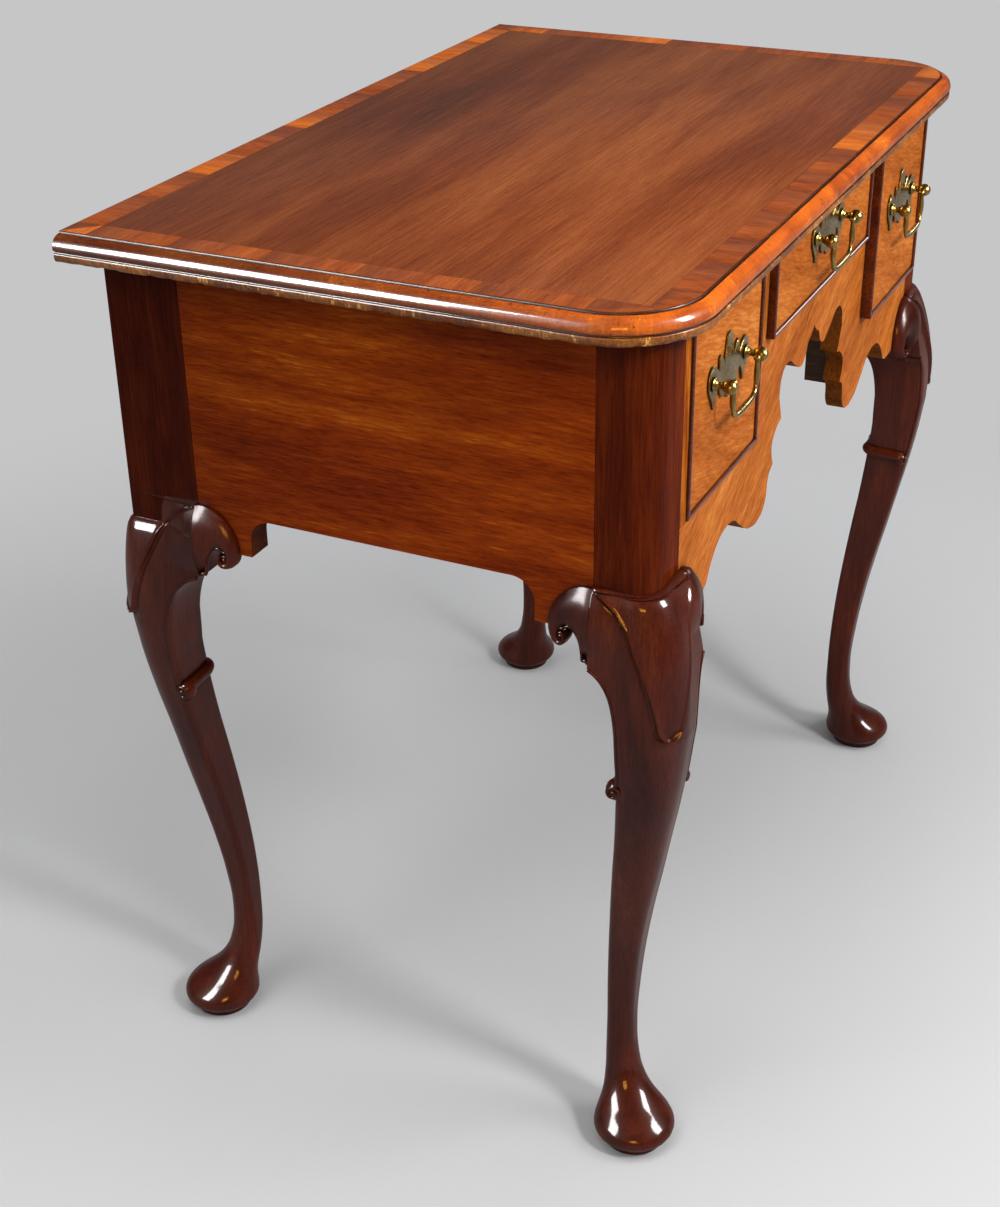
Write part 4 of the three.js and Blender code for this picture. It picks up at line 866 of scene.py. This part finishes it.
def leg_box(z, post):
    """The low and high corner of a section, and its inner, side and outer radii."""
    low, high = (np.full(2, face) for face in eased(SHAFT, z))
    crown = crown_at(z, post)
    if z > KNEE_HEIGHT:
        high = post["high"] + crown * (KNEE_REACH - post["high"])
    low += min(1.0, eased(ARCH_ROWS, z)) * (post["low"] + KNEE_SHY - low)
    half = min(high - low) / 2
    radii = [share * half for share in eased(ROUND_ROWS, z / KNEE_HEIGHT)]
    if z > LAPPET_TIP:
        sharp = min(1.0, (z - LAPPET_TIP) / (ARCH_TOP - LAPPET_TIP)) ** 3
        radii = [radius + sharp * (0.4 - radius) for radius in radii]
        radii[2] = post["round"] + max(0.0, crown) * (KNEE_ROUND - post["round"])
    return low, high, [min(radius, limit * half) for radius, limit in zip(radii, ROUND_LIMITS)]


def arc(centre, radius, quarter, count):
    """Points along one quarter of a circle, the first quarter starting outward along u."""
    angles = (quarter + np.linspace(0, 1, count)) * pi / 2
    return centre + radius * np.column_stack([np.cos(angles), np.sin(angles)])


def leg_section(low, high, radii):
    """Points all round one section, from its inner corner, before the lappet's line is found on it."""
    inner, side, outer = radii
    centres = (low + inner, (high[0] - side, low[1] + side), high - outer, (low[0] + side, high[1] - side))
    corners = [arc(centre, radius, quarter, count) for centre, radius, quarter, count
               in zip(centres, (inner, side, outer, side), (2, 3, 0, 1), CORNER_POINTS)]
    parts = []
    for i, count in enumerate(RUN_POINTS):
        parts += [corners[i], np.linspace(corners[i][-1], corners[(i + 1) % 4][0], count + 2)[1:-1]]
    return np.vstack(parts)


def past_lappet(ring, z, post):
    """How far each point lies inside the lappet's edge, in millimetres."""
    spread = KNEE_REACH - ARC_CUT * KNEE_ROUND - post["low"]
    on_end, on_front_face = eased(LAPPET_ROWS, z)
    return (ring - post["low"] - spread * (on_front_face, on_end)).min(axis=1)


def resampled(ring, z, post):
    """The section again, with its columns of points laid along the lappet's edge on both faces."""
    closed = np.vstack([ring, ring[:1]])
    along = np.concatenate([[0], np.cumsum(norm(np.diff(closed, axis=0), axis=1))])
    kept_end = len(ring) - KEPT_LAST
    apex = int(np.argmax(ring.sum(axis=1)))
    inside = past_lappet(ring, z, post)
    edges = []
    for start, step in ((KEPT_FIRST, 1), (kept_end, -1)):
        place = along[apex] - step * APEX_MARGIN
        for i in range(start, apex, step):
            if inside[i] < 0 <= inside[i + step]:
                share = inside[i] / (inside[i] - inside[i + step])
                place = along[i] + share * (along[i + step] - along[i])
                break
        place = max(step * place, step * along[start] + FAN_MARGIN)
        edges.append(step * min(place, step * along[apex] - APEX_MARGIN))
    reach = (edges[1] - edges[0]) / 2
    fan = np.where(FAN > 0, np.minimum(FAN, reach * FAN / 5), FAN)
    left, right = edges[0] + fan, (edges[1] - fan)[::-1]
    places = np.concatenate([
        along[:KEPT_FIRST], np.linspace(along[KEPT_FIRST], left[0], 12, endpoint=False), left,
        np.linspace(left[-1], right[0], 34)[1:-1], right,
        np.linspace(right[-1], along[kept_end], 13)[1:], along[kept_end + 1:-1]])
    return np.column_stack([np.interp(places, along, closed[:, k]) for k in (0, 1)])


def carve(ring, z, post):
    """Moves a section's points outward by the ears' domes, the lappet and its raised edge."""
    tangent = np.roll(ring, -1, axis=0) - np.roll(ring, 1, axis=0)
    normal = np.stack([tangent[:, 1], -tangent[:, 0]], axis=1)
    normal /= np.maximum(norm(normal, axis=1), 1e-9)[:, None]
    moved = ring.copy()
    crown = max(0.0, crown_at(z, post))
    dome = eased(DOME_ROWS, (EAR_TOP - z) / (EAR_TOP - ARCH_TOP + 5))
    shares = (ring - post["low"]) / (post["high"] - post["low"])
    for axis, relief in enumerate(post["reliefs"]):
        give = np.interp(shares[:, 1 - axis], *np.transpose(SPREAD_ROWS))
        knee = crown * (KNEE_REACH - post["high"][axis])
        wanted = (1 - give) * dome * relief + give * knee
        facing = np.clip(normal[:, axis], 0, 1)
        moved[:, axis] += ramp(z - ARCH_TOP, 8) * facing * np.maximum(0, wanted - knee)
    # The lappet, its raised edge with a groove outside it, and the fuller lip round its tip.
    nearest = past_lappet(ring, z, post)
    inside = ramp(nearest - 0.4, 1.0)
    outer_face = np.clip(normal.max(axis=1) * 1.4, 0, 1)
    edge = hill(nearest - 1.7, 1.2) - 1.3 * hill(nearest + 1.4, 1.5)
    lip = hill(nearest - 1.3, 1.3) - 0.9 * hill(nearest - 5.0, 2.2)
    relief = (LAPPET_RELIEF * ramp(post["crown_top"] - 3 - z, 6) * inside + 0.75 * edge
              + 1.3 * ramp(413 - z, 5) * lip * inside)
    return moved + normal * (outer_face * relief)[:, None]


def rounded_post(post):
    """The square post above the knee, with its outer corner rounded."""
    (u0, v0), (u1, v1) = post["low"], post["high"]
    outline = [(u0, v0), (u1, v0), *arc(post["high"] - post["round"], post["round"], 0, 16), (u0, v1)]
    return skin([[(u, v, z) for u, v in outline] for z in (ARCH_TOP + 2, case_top)])


def spiral(centre, across, outer):
    """Points of an upright spiral that winds in from its outer radius."""
    shares = np.linspace(0, 1, 27)[:, None]
    angles = 0.5 + shares * 1.3 * 2 * pi
    radii = outer + (0.8 - outer) * shares
    return centre + radii * (np.cos(angles) * across + np.sin(angles) * (0, 0, 1))


def rim_down_leg(post, end_side, start):
    """The raised edge that runs down the inner side of one outer face, from the ear to the collar."""
    points = []
    for z in levels([(start, RIM_SPANS[0][0], 3.0)] + RIM_SPANS):
        low, high, (_, side, _) = leg_box(z, post)
        cut = side * ARC_CUT
        points.append((high[0] - cut, low[1] + cut, z) if end_side else (low[0] + cut, high[1] - cut, z))
    return points


def collar_of(post, z):
    """A rolled bead round the inner corner, with a small scroll at each end."""
    low, high, _ = leg_box(z, post)
    near, far, turn = low[0] - 0.6, high[0] - COLLAR_RADIUS - 1, low[0] - 0.6 + COLLAR_BEND
    path = [(far, near, z - 1), *np.linspace((far, near, z), (turn, near, z + 1), 7)]
    path += [(turn - COLLAR_BEND * sin(a), turn - COLLAR_BEND * cos(a), z + 2)
             for a in np.linspace(0.1, 1.45, 7)]
    path += [*np.linspace((near, turn, z + 1), (near, far, z), 7), (near, far, z - 1)]
    shells = [tube(path, COLLAR_RADIUS, 14)]
    u, v = np.eye(3)[:2]
    for at, face, across, swell in (((far, near, z - 2), u, v, 2.2), ((near, far, z - 2), v, u, 0.4)):
        radius = COLLAR_RADIUS + swell
        shells.append(ball(at, radius, 1.12))
        shells.append(tube(spiral(at + face * (radius - 0.6), across, 0.8 * radius), 1.1, 8))
    return shells


def at_corner(points, side_x, side_y):
    """Points drawn in a leg's own frame, put at its corner of the case."""
    edge, inset = (case_front, FOOT_INSET_FRONT) if side_y < 0 else (case_back, FOOT_INSET_BACK)
    foot = (side_x * (case_half - FOOT_INSET_SIDE), edge - side_y * inset, 0)
    return np.asarray(points, float) * (side_x, side_y, 1) + foot


def carved_walnut(name, **finish):
    """Dark walnut, polished over the carving."""
    return wood(name, "Z", "#260903 #3a1005 #4c1908 #64280e", gloss=0.38, shine=0.03,
                shares=(0.5, 0.5, 0.6), bump=0.08, dirt=0.8, reach=5, **finish)


leg_walnut = carved_walnut("carved_polished_walnut_legs", broad=14, length=18, coat=0.26, coat_gloss=0.1)
# The back posts are a darker copy of the front ones: painted shade at the back. Their grime and painted
# shade reach far, under the top.
lit_and_shaded_post_walnut = {
    side: wood(
        f"polished_walnut_{side}_posts", "Z", tones, broad=12, length=20, gloss=0.42, shine=0.0, coat=0.08,
        shares=(0.5, 0.6, 0.6), dirt=0.85, reach=24)
    for side, tones in (("front", "#360c02 #4a1504 #602106 #7a320c"),
                        ("back", "#260702 #370d03 #481705 #5c240a"))}


def carved_leg(side, lift):
    """Shells of one leg in its own frame: the carved part, its disc, rims, collar and post."""
    post = post_of(side == "front")
    rings = []
    for z in levels(LEG_SPANS):
        ring = resampled(leg_section(*leg_box(z, post)), z, post)
        if z > LAPPET_TIP - 8:
            ring = carve(ring, z, post)
        rings.append([(u, v, z) for u, v in ring])
    disc = [(DISC_RADIUS - 1.2, 0), (DISC_RADIUS - 0.3, 0.5), (DISC_RADIUS, 1.5), (DISC_RADIUS, 5.2),
            (DISC_RADIUS - 0.8, DISC_HEIGHT), (DISC_RADIUS - 2, DISC_HEIGHT + 1)]
    collar = COLLAR_HEIGHT + lift
    shells = [skin(rings), turned(disc, 40), *collar_of(post, collar)]
    for end_side in (True, False)[:len(post["reliefs"])]:
        shells.append(tube(rim_down_leg(post, end_side, collar), RIM_RADIUS, 8))
    return [(*shell, leg_walnut) for shell in shells] + [(*rounded_post(post), lit_and_shaded_post_walnut[side])]


CORNERS = {"front_left": (-1, -1), "front_right": (1, -1), "back_left": (-1, 1), "back_right": (1, 1)}
for corner, sides in CORNERS.items():
    lift = FRONT_LEFT_LIFT if corner == "front_left" else 0
    shells = [(at_corner(points, *sides), faces, material)
              for points, faces, material in carved_leg(corner.split("_")[0], lift)]
    make_piece(f"leg_{corner}_carved", shells, "carcass", [f"leg_{corner}"], sharp=50)


# Ears: small scrolled brackets glued beside each knee, carved with it. A raised rim follows the
# hollow of the scroll and winds into its eye.
EAR_RETURN, TIP_RETURN = 20, 3
EAR_LAP = 0.35
EAR_LENGTH, TIP_SHARE = 35, 0.6
# The front ears are the end ears' drawing, stretched across and down from the ear's top.
FRONT_STRETCH = (0.94, 1.12, 1)
# Ear rows: across and height of a point on the outer edge, then of the inner one, from the
# joint round to the eye of the scroll.
EAR_ROWS = [
    (0, 511, 0, 452.5), (4, 511.4, 3.2, 455.8), (8.5, 511, 5.6, 455.6), (14, 508.8, 6.3, 461),
    (20, 505, 7.6, 467), (25, 500.2, 9.8, 472.6), (29, 494.6, 12.8, 476.8), (31.8, 488.8, 16.2, 478.9),
    (33.4, 482.5, 19.4, 478.2), (33.7, 476.5, 21.8, 475.4), (32.6, 470.5, 22.8, 472.8),
    (30, 465.8, 23, 471), (26.4, 463, 22.6, 470.2), (22.2, 462.9, 22, 469.9), (19, 465.2, 21.4, 470.2),
    (17.3, 469, 21, 471), (17.6, 473, 21.2, 471.8), (19.4, 476, 21.8, 472.2)]
EYE_ACROSS, EYE_HEIGHT, EYE_RADIUS = 22.6, 470.4, 2.5


def ear_relief(relief, across):
    """The relief falls off along the ear to its scroll."""
    return relief * (1 - min(1.0, across / EAR_LENGTH) * (1 - TIP_SHARE))


def ear_rings(relief, deep):
    """Rings across an ear from its joint to the eye, each from its outer edge over the dome.

    The deep ear goes back as far as the leg's thickness at its joint, and is thin at its scroll.
    """
    rings = []
    for place in np.linspace(0, len(EAR_ROWS) - 1, 60):
        out_a, out_z, in_a, in_z = eased_row(EAR_ROWS, place)
        height = ear_relief(relief, out_a) * (0.4 if deep else 1.0)
        back = -EAR_RETURN + (EAR_RETURN - TIP_RETURN) * ramp(in_a - 13, 7) if deep else SEAM
        ring = [(out_a + t * (in_a - out_a), out_z + t * (in_z - out_z), eased(DOME_ROWS, t) * height)
                for t in np.linspace(0, 1, 15)]
        rings.append([(*ring[0][:2], back), *ring, (*ring[-1][:2], back)])
    return rings


def rim_path(relief):
    """The raised rim: up the inner edge from the cusp, then wound round the eye."""
    path = []
    for place in np.linspace(0.4, 8.6, 34):
        out_a, _, a, z = eased_row(EAR_ROWS, place)
        path.append((a, z, ear_relief(relief, out_a) * 0.5 + 0.7))
    across, rise, last = path[-1][0] - EYE_ACROSS, path[-1][1] - EYE_HEIGHT, path[-1][2]
    start, radius = atan2(rise, across), hypot(rise, across)
    for share in np.linspace(0, 1, 31)[1:]:
        angle = start - share * 1.1 * 2 * pi
        r = radius + (EYE_RADIUS + 0.4 - radius) * share ** 0.7
        path.append((EYE_ACROSS + r * cos(angle), EYE_HEIGHT + r * sin(angle), last + 0.8 * share))
    return path


def below(shell, height):
    """The part of a closed shell under a level plane, closed again."""
    points, faces = shell
    mesh = bpy.data.meshes.new("cut")
    mesh.from_pydata([tuple(p) for p in points], [], faces)
    work = bmesh.new()
    work.from_mesh(mesh)
    bmesh.ops.bisect_plane(
        work, geom=work.verts[:] + work.edges[:] + work.faces[:], plane_co=(0, height, 0),
        plane_no=(0, 1, 0), clear_outer=True)
    bmesh.ops.holes_fill(work, edges=[e for e in work.edges if e.is_boundary])
    work.verts.index_update()
    result = [tuple(v.co) for v in work.verts], [tuple(v.index for v in f.verts) for f in work.faces]
    work.free()
    bpy.data.meshes.remove(mesh)
    return result


def ear_shells(front_face, panel_low):
    """Shells of one ear, drawn across, up and proud of the face that it continues."""
    relief = FRONT_RELIEF if front_face else END_RELIEF
    top = np.array([0, EAR_TOP, 0])

    def stretched(points):
        return (points - top) * (FRONT_STRETCH if front_face else 1) + top

    path = stretched(rim_path(relief))
    eye = stretched([EYE_ACROSS, EYE_HEIGHT, path[-1][2] - 0.8])
    thinning = [RIM_RADIUS - 0.5 * i / len(path) for i in range(len(path))]
    return [skin(stretched(ear_rings(relief, False))),
            below(skin(stretched(ear_rings(relief, True))), panel_low - SEAM),
            tube(path, thinning, 8), ball(eye, EYE_RADIUS)]


ear_walnut = carved_walnut("carved_polished_walnut_ears", broad=10, length=12, coat_gloss=0.2)
for ear in [f"end_{corner}" for corner in CORNERS] + ["front_left", "front_right"]:
    front_face = not ear.startswith("end")
    sides = CORNERS[ear.removeprefix("end_")]
    post = post_of(sides[1] < 0)
    panel_low = box_mm("front_apron" if front_face else "end_panel_left")[0].z
    shells = []
    for points, faces in ear_shells(front_face, panel_low):
        across, height, proud = np.asarray(points, float).T
        joint = post["low"][0 if front_face else 1] + EAR_LAP - across
        outward = post["high"][1 if front_face else 0] + proud
        drawn = np.column_stack([joint, outward, height] if front_face else [outward, joint, height])
        shells.append((at_corner(drawn, *sides), faces, ear_walnut))
    make_piece(f"ear_{ear}_carved", shells, "carcass", [f"ear_{ear}"], sharp=50)


def plain(box):
    return [[round(c, 6) for c in corner] for corner in box]


{"cad": plain((cad_low, cad_high)), "visual": plain(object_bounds())}
